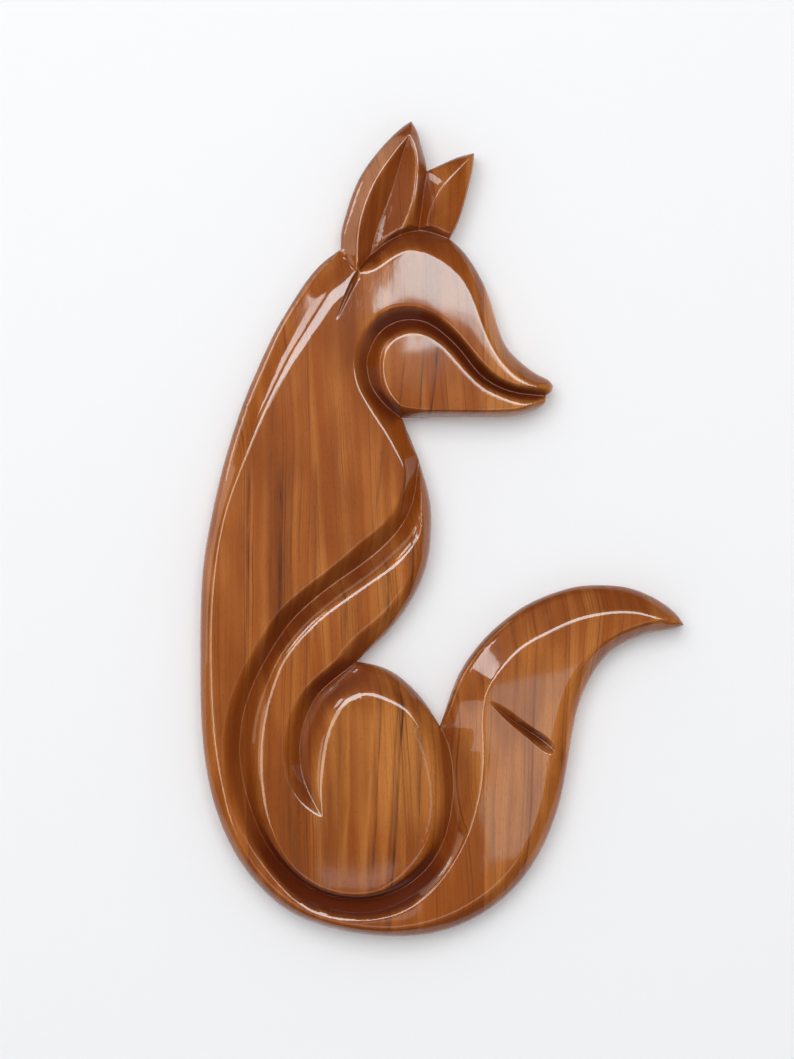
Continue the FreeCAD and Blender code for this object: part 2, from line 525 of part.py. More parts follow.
def hanger_room():
    """What is routed and drilled out of the board for the plate, the wall screw's head and the screws."""
    recess_rise = plate_length - plate_width
    recess_width = plate_width + 2 * recess_clearance
    recess = upright_slot(recess_width, recess_rise, plate_thickness, plate_centre_z - recess_rise / 2)
    pocket = upright_slot(pocket_width, slot_rise, plate_thickness + pocket_depth)
    pilot_length = screw_length + pilot_overrun
    pilots = [Part.makeCylinder(screw_diameter / 2 + pilot_clearance, pilot_length, Vector(0, 0, level),
                                Vector(0, -1, 0)) for level in screw_levels.values()]
    return recess.fuse([pocket] + pilots)


nodes = staves(carved_board())
nodes["centre_stave"] = nodes["centre_stave"].cut(hanger_room())
nodes["hanger_plate"] = hanger_plate()
for name, level in screw_levels.items():
    nodes[name] = wood_screw(level)

os.makedirs("parts", exist_ok=True)
for name, shape in nodes.items():
    print(name, "solids", len(shape.Solids), "valid", shape.isValid(), "volume", round(shape.Volume, 1))
    shape.exportStep("parts/" + name + ".step")
wood = Part.makeCompound([nodes[name] for name in nodes if name.endswith("stave")])
print("balance point", wood.CenterOfGravity)
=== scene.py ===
import json
import math
from functools import partial
import bpy
import numpy as np
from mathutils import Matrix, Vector
from mathutils.geometry import delaunay_2d_cdt

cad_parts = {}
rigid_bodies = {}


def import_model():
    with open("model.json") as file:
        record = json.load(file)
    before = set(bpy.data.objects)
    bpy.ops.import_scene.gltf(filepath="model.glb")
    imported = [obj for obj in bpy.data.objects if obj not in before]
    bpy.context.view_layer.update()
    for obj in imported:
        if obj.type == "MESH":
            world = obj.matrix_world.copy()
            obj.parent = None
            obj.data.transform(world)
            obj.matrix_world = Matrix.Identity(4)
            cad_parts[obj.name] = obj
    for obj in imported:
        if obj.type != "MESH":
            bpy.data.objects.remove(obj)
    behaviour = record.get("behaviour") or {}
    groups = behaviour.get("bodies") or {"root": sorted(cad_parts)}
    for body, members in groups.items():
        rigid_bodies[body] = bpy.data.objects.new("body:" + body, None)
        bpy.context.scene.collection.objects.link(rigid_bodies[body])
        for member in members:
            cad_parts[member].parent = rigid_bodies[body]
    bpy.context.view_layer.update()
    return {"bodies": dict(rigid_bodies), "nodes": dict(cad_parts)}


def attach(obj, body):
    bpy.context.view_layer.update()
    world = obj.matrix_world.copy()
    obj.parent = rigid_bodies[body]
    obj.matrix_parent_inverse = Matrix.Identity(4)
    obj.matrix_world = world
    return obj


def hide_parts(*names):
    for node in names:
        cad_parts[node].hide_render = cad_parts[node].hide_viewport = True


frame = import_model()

# A fox sitting in profile, carved in relief from glued teak staves, varnished and hung on a wall.
# The surfaces are worked out in millimetres and written to the meshes in metres.
mm = 0.001
body = list(frame["bodies"])[0]

# The carved board: its size, where the hanger's keyhole lies on it as shares, and how it is cut
board = {
    "width": 297.0,
    "height": 500.0,
    "thickness": 24.0,
    "carveDepth": 10.0,
    "hangerShares": (0.3705, 0.7858),
    "glueShares": (0.0961, 0.2283, 0.5857),
    "muzzleLevelShare": 0.55,
    "edgeRound": 3.8,
    "earRound": 2.4,
    "mouthRound": 0.8,
    "mouthFade": 9.0,
    "crestDrop": 0.24,
    "domeReach": 15.0,
    "cheekDomeEnds": (22.0, 38.0),
    "valleyFill": 0.22,
    "fadedFill": 0.15,
    "fillFade": 5.0,
    "earHollowFill": 0.3,
    "waveHeight": 0.06,
    "footReach": 2.6,
    "footDrop": 0.6,
    "footFullDepth": 3.0,
    "leastWidth": 0.6,
    "leastRun": 1.2,
    "leastRound": 0.15,
    "leastReach": 0.05,
    "widestShare": 0.45,
    "railStep": 0.9,
    "backChamfer": 0.8,
    "steepestGlue": 0.35,
}

# Rows of every rail: width and height shares in ten-thousandths, and the depth in hundredths of the
# carving depth. A row without a depth keeps the last one, and each rail starts from depth 0.
railShares = {
    "cheekValley": [(4163, 6360, 100), (3936, 6458), (3709, 6593), (3543, 6740), (3461, 6900),
        (3440, 7072), (3523, 7231), (3667, 7379), (3874, 7489), (4143, 7551), (4452, 7563),
        (4762, 7502), (5072, 7366), (5382, 7182), (5671, 6961), (5940, 6814), (6250, 6716, 95),
        (6643, 6654, 80), (7118, 6630, 65)],
    "innerValley": [(3213, 3364, 100), (2841, 3192), (2469, 2996), (2221, 2750), (2076, 2468, 95),
        (2056, 2185, 90), (2138, 1928, 70), (2304, 1707, 40), (2531, 1473, 0)],
    "earsValley": [(4680, 9380, 80), (4618, 9184, 85), (4576, 8975, 90), (4535, 8791, 95),
        (4514, 8656, 100)],
    "backRidge": [(3254, 8128), (3068, 8017), (2841, 7919), (2510, 7673), (2118, 7317), (1767, 6998),
        (1436, 6618), (1147, 6225), (878, 5807), (589, 5353), (403, 4923), (279, 4432), (217, 3941),
        (207, 3389), (238, 2836), (320, 2284), (465, 1793), (630, 1412), (940, 1019), (1374, 675),
        (1911, 405), (2510, 233), (3233, 135), (3998, 110), (4742, 184), (5403, 344), (5961, 565),
        (6457, 859), (6829, 1228), (7076, 1633), (7200, 2038), (7283, 2382), (7428, 2775), (7634, 3118),
        (7965, 3413), (8378, 3634), (8874, 3781), (9287, 3855), (9535, 3892)],
    "tailRidge": [(9535, 3892), (9246, 3953), (8915, 3990), (8543, 3990), (8130, 3953), (7696, 3880),
        (7221, 3745), (6787, 3610), (6415, 3425), (6120, 3217), (5895, 2990), (5826, 2780),
        (5816, 2554)],
    "browRidge": [(6952, 6728), (6746, 6789), (6519, 6863), (6271, 7010), (6064, 7195), (5878, 7428),
        (5733, 7661), (5589, 7870), (5362, 8079), (5114, 8214), (4866, 8312), (4680, 8367),
        (4494, 8398), (4349, 8410), (4122, 8379), (3915, 8312), (3709, 8226), (3481, 8152),
        (3254, 8128)],
    "legArris": [(4556, 5206), (4556, 5414, 30), (4535, 5648, 65), (4494, 5869, 100)],
    "legRidge": [(4556, 5206), (4576, 4972), (4514, 4715), (4390, 4457), (4184, 4236), (3874, 4015),
        (3502, 3818), (3171, 3646), (2903, 3450)],
    "haunchRidge": [(3295, 2971), (3502, 2983), (3812, 2934), (4163, 2836), (4390, 2713), (4556, 2554)],
    "legHollowRidge": [(2903, 3450), (2614, 3290), (2283, 3118), (1994, 2885), (1808, 2615),
        (1746, 2308), (1829, 1977), (2014, 1719), (2283, 1559), (2531, 1473)],
    "haunchHollowRidge": [(3295, 2971), (3048, 2910), (2820, 2775), (2634, 2554), (2510, 2259),
        (2448, 1977), (2469, 1707), (2531, 1473)],
    "cheekRidge": [(4101, 6483), (3936, 6593), (3812, 6728), (3750, 6888), (3750, 7060), (3833, 7219),
        (3998, 7330), (4225, 7391), (4473, 7403), (4742, 7354), (5010, 7244), (5300, 7060),
        (5589, 6875), (5878, 6728), (6209, 6630), (6560, 6556), (6849, 6532)],
    "jawRidge": [(6849, 6532), (6725, 6483), (6395, 6446), (5775, 6433), (4948, 6433), (4432, 6440),
        (4101, 6483)],
    "earTwoRidge": [(5651, 9601, 55), (5403, 9441, 25), (5176, 9294, 20), (4969, 9147, 23),
        (4824, 8999, 30), (4721, 8852, 41), (4680, 8656, 60)],
    "tailNotchFloor": [(5905, 2924, -5), (6188, 2770, 25), (6472, 2640, 40), (7014, 2430, 50),
        (7428, 2215, -5)],
    "tailNotchUpper": [(5905, 2924, -5), (6214, 2845), (6808, 2591), (7247, 2400), (7428, 2215)],
    "tailNotchLower": [(5905, 2924, -5), (6266, 2683), (6808, 2406), (7169, 2250), (7428, 2215)],
    "napeFloor": [(3316, 8214, -5), (3192, 8066, 35), (3089, 7931), (2965, 7759, 25), (2800, 7514, -5)],
    "napeLeft": [(3316, 8214, -5), (3150, 8091), (3036, 7931), (2915, 7759), (2800, 7514)],
    "napeRight": [(3316, 8214, -5), (3268, 8042), (3150, 7907), (3005, 7735), (2800, 7514)],
    "earBaseLeft": [(3254, 8128), (3357, 8250, 50), (3502, 8349, 80), (3709, 8459), (3936, 8545, 75),
        (4143, 8607, 70)],
    "earBaseRight": [(4143, 8607, 70), (4329, 8643, 90), (4514, 8656, 100), (4680, 8649, 90),
        (4907, 8607, 95), (5134, 8557, 90)],
    "earOneLeftRidge": [(3254, 8128), (3233, 8422), (3275, 8668), (3357, 8877), (3502, 9110),
        (3688, 9331), (3915, 9527, 5), (4122, 9687, 10), (4308, 9810)],
    "earOneRightRidge": [(4308, 9810, 10), (4411, 9699), (4473, 9527), (4473, 9306, 15),
        (4432, 9085, 17), (4349, 8889, 22), (4143, 8607, 38)],
    "earOneHollow": [(4308, 9810, 10), (4163, 9552, 50), (3998, 9233, 72), (3874, 9024, 80),
        (3667, 8692, 87), (3502, 8336)],
    "mainValley": [(4948, 2566, 100), (5072, 2406), (5176, 2161), (5217, 1866), (5176, 1572),
        (5052, 1240), (4824, 958), (4473, 724), (4101, 577), (3667, 479), (3213, 454), (2758, 491),
        (2324, 589), (1890, 761), (1498, 1019), (1167, 1375), (940, 1768), (816, 2161), (837, 2554),
        (981, 2934), (1229, 3266), (1539, 3585), (1911, 3892), (2324, 4125), (2800, 4346), (3275, 4543),
        (3709, 4751), (4081, 4985), (4329, 5242), (4452, 5537), (4494, 5869)],
    "grooveRidge": [(5816, 2554), (5826, 2259), (5790, 1915), (5675, 1572), (5465, 1203), (5155, 872),
        (4742, 565), (4308, 368), (3812, 258), (3254, 221), (2696, 258), (2138, 393), (1663, 651),
        (1250, 958), (878, 1314), (610, 1694), (506, 2112), (527, 2529), (671, 2934), (919, 3290),
        (1271, 3671), (1746, 4052), (2304, 4334), (2882, 4604), (3461, 4899), (3874, 5120),
        (4122, 5378), (4225, 5574), (4205, 5770), (4081, 5930), (3936, 6090), (3771, 6249),
        (3585, 6421), (3399, 6605), (3254, 6802), (3213, 7010), (3254, 7219), (3357, 7379),
        (3564, 7538), (3833, 7661), (4143, 7710), (4494, 7698), (4824, 7624), (5134, 7489),
        (5444, 7293), (5733, 7084), (6002, 6924), (6312, 6802), (6643, 6740), (6952, 6728)],
    "legEdge": [(4494, 5869, 100), (4597, 5672, 85), (4700, 5451, 75), (4762, 5206, 70), (4762, 4960),
        (4721, 4702), (4597, 4420, 75), (4390, 4162, 80), (4101, 3904, 85), (3771, 3671, 90),
        (3481, 3511, 95), (3213, 3364, 100)],
    "haunchGrooveRidge": [(4556, 2554), (4721, 2308), (4845, 2014), (4907, 1707), (4866, 1424),
        (4721, 1142), (4473, 909), (4143, 712), (3729, 565), (3233, 516), (2758, 552), (2304, 663),
        (1870, 872), (1539, 1166), (1312, 1522), (1209, 1915), (1209, 2308), (1291, 2713), (1457, 3094),
        (1684, 3413), (2035, 3671), (2510, 3941), (3048, 4174), (3605, 4408), (4060, 4604),
        (4349, 4813), (4494, 4985), (4556, 5206)],
    "earOneTip": [(4308, 9810, 10), (4349, 9994, 60)],
    "backEdge": [(2903, 8422, 80), (2593, 8300, 85), (2221, 8066, 90), (1890, 7772), (1581, 7465),
        (1250, 7060), (940, 6630, 85), (692, 6212, 80), (424, 5660, 70), (217, 5107, 60),
        (72, 4592, 55), (10, 4002, 50), (0, 3389), (10, 2836), (72, 2284), (217, 1780, 55), (424, 1387),
        (754, 982, 60), (1188, 638), (1746, 344), (2386, 160), (3130, 49), (3998, 0), (4866, 49, 65),
        (5568, 196, 70), (6188, 430, 75), (6725, 761, 80), (7118, 1154), (7407, 1621), (7572, 2099, 75),
        (7676, 2468), (7820, 2848, 80), (8068, 3180, 85), (8399, 3450), (8833, 3622, 80),
        (9370, 3732, 75), (9742, 3769, 70), (9990, 3818)],
    "tailEdge": [(9990, 3818, 70), (9824, 3953), (9576, 4076, 80), (9246, 4187, 90), (8833, 4273, 95),
        (8316, 4303), (7800, 4285), (7283, 4199), (6767, 4064), (6312, 3880), (5899, 3659),
        (5548, 3401), (5279, 3118), (5114, 2848, 100), (4948, 2566)],
    "foreheadEdge": [(5134, 8557, 90), (5341, 8459), (5548, 8312), (5754, 8115), (5919, 7907),
        (6043, 7686), (6167, 7440), (6312, 7244), (6539, 7084, 85), (6787, 6961, 80), (7014, 6875, 70),
        (7200, 6814, 65), (7283, 6753)],
    "jawEdge": [(7118, 6630, 65), (7138, 6581, 60), (7014, 6495, 55), (6808, 6433, 50), (6457, 6384),
        (5775, 6372), (5155, 6372, 60), (4638, 6366, 85), (4163, 6360, 100)],
    "lipEdge": [(7283, 6753, 65), (7242, 6679), (7118, 6630)],
    "neckEdge": [(4163, 6360, 100), (4287, 6176), (4411, 6004), (4494, 5869)],
    "haunchEdge": [(3213, 3364, 100), (3543, 3327, 95), (3895, 3254), (4225, 3118), (4535, 2934),
        (4762, 2750, 97), (4948, 2566, 100)],
    "earOneLeftEdge": [(2903, 8422, 80), (2903, 8594, 75), (2986, 8815), (3130, 9085), (3316, 9331),
        (3585, 9564), (3895, 9773, 70), (4143, 9908, 65), (4349, 9994, 60)],
    "earOneRightEdge": [(4349, 9994, 60), (4473, 9871, 65), (4556, 9711, 70), (4638, 9527, 75),
        (4680, 9380, 80)],
    "earTwoRightEdge": [(5651, 9601, 55), (5630, 9454, 60), (5548, 9208, 65), (5424, 8938, 70),
        (5279, 8705, 75), (5134, 8557, 90)],
    "earTwoTopEdge": [(4680, 9380, 80), (4845, 9429, 75), (5114, 9503, 65), (5382, 9564, 60),
        (5651, 9601, 55)],
}


# Rows to millimetres: (x, z, depth) measured from the keyhole and the flat front.
def place(shares):
    filled, deep = [], 0
    for row in shares:
        deep = row[2] if len(row) == 3 else deep
        filled.append((row[0] / 10000, row[1] / 10000, deep / 100))
    rows = np.array(filled)
    x = (rows[:, 0] - board["hangerShares"][0]) * board["width"]
    z = (rows[:, 1] - board["hangerShares"][1]) * board["height"]
    return np.column_stack([x, z, rows[:, 2] * board["carveDepth"]])


# Natural cubic spline through the rows: the bends solve one tridiagonal system over the chord
# lengths, and every span is the cubic that its two ends and their two bends fix.
def smoothLine(shares):
    knots = place(shares)
    gaps = np.hypot(*np.diff(knots[:, :2], axis=0).T)
    along = np.concatenate([[0], np.cumsum(gaps)])
    system = np.eye(len(knots))
    pull = np.zeros((len(knots), 3))
    inner = np.arange(1, len(knots) - 1)
    system[inner, inner - 1] = gaps[:-1]
    system[inner, inner] = 2 * (gaps[:-1] + gaps[1:])
    system[inner, inner + 1] = gaps[1:]
    rise = np.diff(knots, axis=0) / gaps[:, None]
    pull[inner] = 6 * (rise[1:] - rise[:-1])
    bend = np.linalg.solve(system, pull)
    places = np.linspace(0, along[-1], max(2, int(round(along[-1] / board["railStep"])) + 1))
    span = np.clip(np.searchsorted(along, places) - 1, 0, len(gaps) - 1)
    width = gaps[span][:, None]
    after = (places - along[span])[:, None]
    before = width - after
    line = (bend[span] * before ** 3 + bend[span + 1] * after ** 3) / (6 * width)
    line += (knots[span] / width - bend[span] * width / 6) * before
    line += (knots[span + 1] / width - bend[span + 1] * width / 6) * after
    return line


# The rails by what they are: the figure's edge in order, crests, valleys and flat plateaus
edgeRails = ["backEdge", "tailEdge", "haunchEdge", "legEdge", "neckEdge", "jawEdge", "lipEdge",
             "foreheadEdge", "earTwoRightEdge", "earTwoTopEdge", "earOneRightEdge", "earOneLeftEdge"]
crestRails = ["legArris", "earOneLeftRidge", "earOneRightRidge", "earOneTip", "earTwoRidge"]
valleyRails = ["mainValley", "cheekValley", "innerValley", "earOneHollow", "earsValley",
               "earBaseLeft", "earBaseRight"]
plateaus = {
    "body": ["backRidge", "tailRidge", "grooveRidge", "browRidge", "crownRidge"],
    "haunch": ["haunchGrooveRidge", "legRidge", "legHollowRidge", "haunchHollowRidge", "haunchRidge"],
    "cheek": ["cheekRidge", "jawRidge"],
}

# How far each ridge's rounding reaches to either side
ridgeRounds = {"backRidge": 3.2, "tailRidge": 1.7, "grooveRidge": 1.0, "browRidge": 1.7,
               "crownRidge": 1.9, "haunchGrooveRidge": 3.6, "legRidge": 1.4, "legHollowRidge": 0.9,
               "haunchHollowRidge": 4.2, "haunchRidge": 2.2, "cheekRidge": 1.8, "jawRidge": 1.8}
# Heights at which two ridges' rounding changes, and the factors on it there
roundTapers = {"backRidge": ((-105, -45), (0.5, 1.9)), "tailRidge": ((-242, -222), (0.45, 1.0))}
# How much each plateau sinks at its rim
domeDrops = {"body": 0.03, "haunch": 0.10, "cheek": 0.40}

# Each cell lies inside the loop of its rails and slopes from its high rails down to its low ones
bodyLow = ["backEdge", "tailEdge", "mainValley", "neckEdge", "cheekValley", "lipEdge", "foreheadEdge"]
earFoot = ["earBaseLeft", "earBaseRight"]
cells = [
    {"loop": earFoot + ["crownRidge"], "low": earFoot + ["foreheadEdge"], "high": plateaus["body"]},
    {"loop": bodyLow + ["crownRidge"], "low": bodyLow + ["earBaseRight"], "high": plateaus["body"]},
    {"loop": ["legEdge", "haunchEdge", "mainValley"],
     "low": ["legEdge", "haunchEdge", "mainValley", "innerValley"],
     "high": plateaus["haunch"] + ["legArris"]},
    {"loop": ["cheekValley", "jawEdge"], "low": ["cheekValley", "jawEdge"], "high": plateaus["cheek"]},
    {"loop": ["earTwoRightEdge", "earTwoRidge"], "low": ["earTwoRightEdge"], "high": ["earTwoRidge"]},
    {"loop": ["earTwoTopEdge", "earTwoRidge", "earsValley"], "low": ["earTwoTopEdge", "earsValley"],
     "high": ["earTwoRidge"]},
    {"loop": ["earOneRightEdge", "earsValley", "earOneRightRidge"], "band": 0.7,
     "low": ["earOneRightEdge", "earsValley"], "high": ["earOneRightRidge", "earOneTip"]},
    {"loop": ["earOneLeftRidge", "earOneRightRidge"], "low": ["earOneHollow"], "band": 0.5,
     "high": ["earOneLeftRidge", "earOneRightRidge"]},
    {"loop": ["earOneLeftEdge", "earOneLeftRidge"], "low": ["earOneLeftEdge"],
     "high": ["earOneLeftRidge", "earOneTip"]},
]
# The two cuts made last: between its lips, each slopes down to its floor
cuts = [
    {"lips": ["tailNotchUpper", "tailNotchLower"], "floor": "tailNotchFloor"},
    {"lips": ["napeLeft", "napeRight"], "floor": "napeFloor"},
]


# Rails joined end to end, each one turned so that it starts where the last one stopped.
def loopOf(names):
    loop = lines[names[0]][:, :2]
    if len(names) > 1:
        ends = lines[names[1]][[0, -1], :2]
        near = [np.hypot(*(ends - loop[side]).T).min() for side in (0, -1)]
        loop = loop[::-1] if near[0] < near[1] else loop
    for name in names[1:]:
        rail = lines[name][:, :2]
        near = np.hypot(*(rail[[0, -1]] - loop[-1]).T)
        loop = np.concatenate([loop, rail if near[0] <= near[1] else rail[::-1]])
    return loop


# Even-odd rule: a point is inside where a ray to its right crosses an odd number of the edges.
# The points are taken in order of height, so that each block meets only the edges at its level.
def inside(points, starts, ends):
    result = np.zeros(len(points), bool)
    low, high = starts.min(axis=0), starts.max(axis=0)
    boxed = np.flatnonzero(np.all((points >= low) & (points <= high), axis=1))
    boxed = boxed[np.argsort(points[boxed, 1])]
    lowest, highest = np.minimum(starts[:, 1], ends[:, 1]), np.maximum(starts[:, 1], ends[:, 1])
    for block in np.array_split(boxed, len(boxed) // 400 + 1):
        if not len(block):
            continue
        x, z = points[block, 0][:, None], points[block, 1][:, None]
        level = (lowest <= z[-1]) & (highest >= z[0])
        start, end = starts[level], ends[level]
        spans = (start[:, 1] > z) != (end[:, 1] > z)
        rise = np.where(end[:, 1] == start[:, 1], 1, end[:, 1] - start[:, 1])
        cross = start[:, 0] + (z - start[:, 1]) * (end[:, 0] - start[:, 0]) / rise
        result[block] = np.count_nonzero(spans & (x < cross), axis=1) % 2 == 1
    return result


# Where points lie inside the loop that the named rails make, by the same even-odd rule.
def insideLoop(points, names):
    loop = loopOf(names)
    return inside(points, loop, np.roll(loop, -1, axis=0))


# Distance to the closest of several rails, with that rail's traits read off at the closest spot:
# the nearest of the rails' own points is found first, by the square of the difference multiplied
# out, and then a perpendicular is dropped on the two short segments that meet there.
def nearest(points, names):
    spots = np.concatenate([lines[name][:, :2] for name in names])
    values = np.concatenate([traits[name] for name in names])
    rail = np.repeat(np.arange(len(names)), [len(lines[name]) for name in names])
    length = (spots ** 2).sum(axis=1)
    closest = np.empty(len(points), int)
    for block in np.array_split(np.arange(len(points)), len(points) // 2000 + 1):
        closest[block] = (length - 2 * points[block] @ spots.T).argmin(axis=1)
    distance = np.full(len(points), np.inf)
    found = np.empty((len(points), values.shape[1]))
    for step in (-1, 1):
        other = np.clip(closest + step, 0, len(spots) - 1)
        other = np.where(rail[other] == rail[closest], other, closest)
        run = spots[other] - spots[closest]
        off = points - spots[closest]
        share = np.clip((off * run).sum(axis=1) / np.maximum((run ** 2).sum(axis=1), 1e-12), 0, 1)[:, None]
        gap = np.hypot(*(off - share * run).T)
        better = gap < distance
        distance[better] = gap[better]
        found[better] = (values[closest] * (1 - share) + values[other] * share)[better]
    return distance, found


# Rises from 0 at a rail's faded end to 1 at the given reach along it, as 3 s squared - 2 s cubed.
def fadeIn(line, atStart, atEnd, reach):
    along = np.concatenate([[0], np.cumsum(np.hypot(*np.diff(line[:, :2], axis=0).T))])
    share = np.ones(len(line))
    share = np.minimum(share, along / reach) if atStart else share
    share = np.minimum(share, (along[-1] - along) / reach) if atEnd else share
    return share ** 2 * (3 - 2 * share)


# The rails as lines, with the brow's ridge split at the crown, where another cell begins
lines = {name: smoothLine(shares) for name, shares in railShares.items()}
crownStart = np.hypot(*(lines["browRidge"][:, :2] - place([(4866, 8312)])[0, :2]).T).argmin()
lines["crownRidge"] = lines["browRidge"][crownStart:]
lines["browRidge"] = lines["browRidge"][:crownStart + 1]

# Whether an edge rail's rounding fades out at its start and at its end, where two rails meet
mouths = {"legEdge": (1, 1), "neckEdge": (1, 1), "jawEdge": (1, 0), "lipEdge": (0, 1), "backEdge": (1, 0),
          "haunchEdge": (1, 1), "tailEdge": (0, 1), "earTwoTopEdge": (1, 0), "earOneRightEdge": (0, 1),
          "earOneLeftEdge": (1, 0), "foreheadEdge": (1, 0), "earTwoRightEdge": (0, 1)}
# Traits of a rail's points: carved depth, the edge's rounding or the strength of the fill, and slope.
# A plateau's ridge holds the depth of its rim, the reach of its rounding, and the slope beside it,
# which is the depth of the nearest low rail divided by the distance to it.
traits = {}
for name, line in lines.items():
    if name in edgeRails:
        wholeRound = board["earRound"] if name.startswith("ear") else board["edgeRound"]
        rising = fadeIn(line, *mouths[name], board["mouthFade"])
        second = board["mouthRound"] + (wholeRound - board["mouthRound"]) * rising
    else:
        fades = name != "legArris"
        second = board["fadedFill"] + (1 - board["fadedFill"]) * fadeIn(line, fades, fades, board["fillFade"])
        second *= board["earHollowFill"] if name == "earOneHollow" else 1.0
    traits[name] = np.column_stack([np.maximum(line[:, 2], 0), second, np.zeros(len(line))])
cheekStart, cheekEnd = board["cheekDomeEnds"]
for group, rails in plateaus.items():
    cell = {"body": cells[1], "haunch": cells[2], "cheek": cells[3]}[group]
    for name in rails:
        low = cells[0]["low"] if name == "crownRidge" else cell["low"]
        width, values = nearest(lines[name][:, :2], low)
        fade = np.clip((lines[name][:, 0] - cheekStart) / (cheekEnd - cheekStart), 0, 1)
        fade = fade if group == "cheek" else 0
        traits[name][:, 0] = domeDrops[group] * (1 - fade)
        traits[name][:, 2] = values[:, 0] / np.maximum(width, board["leastRun"])
        levels, factors = roundTapers.get(name, ((0.0,), (1.0,)))
        taper = np.interp(lines[name][:, 1], levels, factors)
        widest = board["widestShare"] * width
        traits[name][:, 1] = np.clip(widest, board["leastRound"], ridgeRounds[name] * taper)


# Depth of the carving below the flat front where a point lies in a plateau or a cell, and an empty
# value elsewhere. A plateau is flat but for a rim that sinks as a parabola. A cell's depth goes
# evenly from the high rail to the low one, by the ratio of the two distances. Where two slopes meet,
# a parabola replaces the sharp line: the slope times the square of what is left of its reach,
# divided by four reaches beside a plateau and by two beside a crest or a valley.
def slopes(points):
    depth = np.full(len(points), np.nan)
    leastReach = board["leastReach"]
    for group, rails in plateaus.items():
        pick = np.flatnonzero(insideLoop(points, rails))
        gap, values = nearest(points[pick], rails)
        reach, slope = values[:, 1], values[:, 2]
        rim = values[:, 0] * np.maximum(1 - gap / board["domeReach"], 0) ** 2
        depth[pick] = rim + slope * np.maximum(reach - gap, 0) ** 2 / (4 * reach)
    for cell in cells:
        pick = np.flatnonzero(np.isnan(depth) & insideLoop(points, cell["loop"]))
        low, lowValues = nearest(points[pick], cell["low"])
        high, highValues = nearest(points[pick], cell["high"])
        high = np.maximum(high - cell.get("band", 0.0), 0)
        width = np.maximum(low + high, board["leastWidth"])
        slope = (lowValues[:, 0] - highValues[:, 0]) / width
        here = highValues[:, 0] + slope * high
        steep = np.maximum(np.abs(slope), 1e-3)
        onFlat = highValues[:, 2] > 0
        flatReach = highValues[:, 1]
        widest = board["widestShare"] * width + leastReach
        crestReach = np.clip(2 * board["crestDrop"] * highValues[:, 1] / steep, leastReach, widest)
        offFlat = slope * np.maximum(flatReach - high, 0) ** 2 / (4 * np.maximum(flatReach, leastReach))
        offCrest = slope * np.maximum(crestReach - high, 0) ** 2 / (2 * crestReach)
        here += np.where(onFlat, offFlat, offCrest)
        isValley = nearest(points[pick], edgeRails)[0] > low + 1e-6
        fillReach = np.clip(2 * board["valleyFill"] * lowValues[:, 1] / steep, leastReach, widest)
        here -= np.where(isValley, slope * np.maximum(fillReach - low, 0) ** 2 / (2 * fillReach), 0)
        depth[pick] = here
    return depth


# Offsets to the spots beside a point on a rail, whose depth it borrows
besideSpots = ((0.06, 0.03), (-0.06, 0.03), (0.03, -0.06), (-0.03, -0.06))


# The whole carving: points on a rail borrow the depth of a spot just beside it, the ears run down
# into the line cut round their foot, a cut takes the deeper of the surface and its own two slopes,
# and the outer edge gets a quarter round, which adds the radius less the circle's height.
def carvedDepth(points):
    depth = slopes(points)
    for aside in besideSpots:
        missing = np.isnan(depth)
        depth[missing] = slopes(points[missing] + aside)
    gap, values = nearest(points, edgeRails)
    depth = np.where(np.isnan(depth), values[:, 0], depth)
    foot, footValues = nearest(points, earFoot)
    pull = np.clip(1 - foot / board["footReach"], 0, 1) ** 1.5
    pull *= np.clip(footValues[:, 0] / board["footFullDepth"], 0, 1)
    depth += np.maximum(footValues[:, 0] + board["footDrop"] - depth, 0) * pull
    depth += board["waveHeight"] * waves(points)
    for cut in cuts:
        pick = np.flatnonzero(insideLoop(points, cut["lips"]))
        toLip = nearest(points[pick], cut["lips"])[0]
        toFloor, floor = nearest(points[pick], [cut["floor"]])
        share = toLip / np.maximum(toLip + toFloor, 1e-6)
        depth[pick] = np.maximum(depth[pick], floor[:, 0] * share)
    radius = values[:, 1]
    short = np.clip(radius - gap, 0, radius)
    return depth + radius - np.sqrt(radius ** 2 - short ** 2)


# The slight unevenness that hand carving and sanding leave, from 0 to 1: the mean of three crossing
# sine waves, two of which sway with a slower one across them.
def waves(points):
    x, z = points[:, 0], points[:, 1]
    first = np.sin(x / 5.3 + 1.7 * np.sin(z / 17.0))
    second = np.sin(z / 7.9 + 1.3 * np.sin(x / 11.0) + 2.0)
    third = np.sin((x + z) / 12.5 + 0.6)
    return 0.5 + (first + second + third) / 6


# Points at the same sideways offset from a line: each one moves along the line's own normal, which
# is the run between its neighbours turned left.
def besideLine(line, offset, closed=False):
    if closed:
        ahead = np.roll(line, -1, axis=0) - np.roll(line, 1, axis=0)
    else:
        ahead = np.gradient(line, axis=0)
    ahead /= np.maximum(np.hypot(*ahead.T), 1e-9)[:, None]
    return line + offset * np.column_stack([-ahead[:, 1], ahead[:, 0]])


# True for the points that lie closer than the gap to one of the kept points. The kept points are
# sorted into square bins as wide as the gap, each with one number, and only the nine bins around a
# point are searched, six points in each.
def crowded(points, kept, gap):
    stride = 100003
    binOf = np.floor(kept / gap).astype(np.int64)
    keys = binOf[:, 0] * stride + binOf[:, 1]
    order = np.argsort(keys)
    keys, spots = keys[order], kept[order]
    own = np.floor(points / gap).astype(np.int64)
    close = np.zeros(len(points), bool)
    for aside, up in [(a, b) for a in (-1, 0, 1) for b in (-1, 0, 1)]:
        want = (own[:, 0] + aside) * stride + own[:, 1] + up
        start = np.searchsorted(keys, want)
        for further in range(6):
            index = np.minimum(start + further, len(keys) - 1)
            near = np.hypot(*(spots[index] - points).T) < gap
            close |= (keys[index] == want) & near
    return close


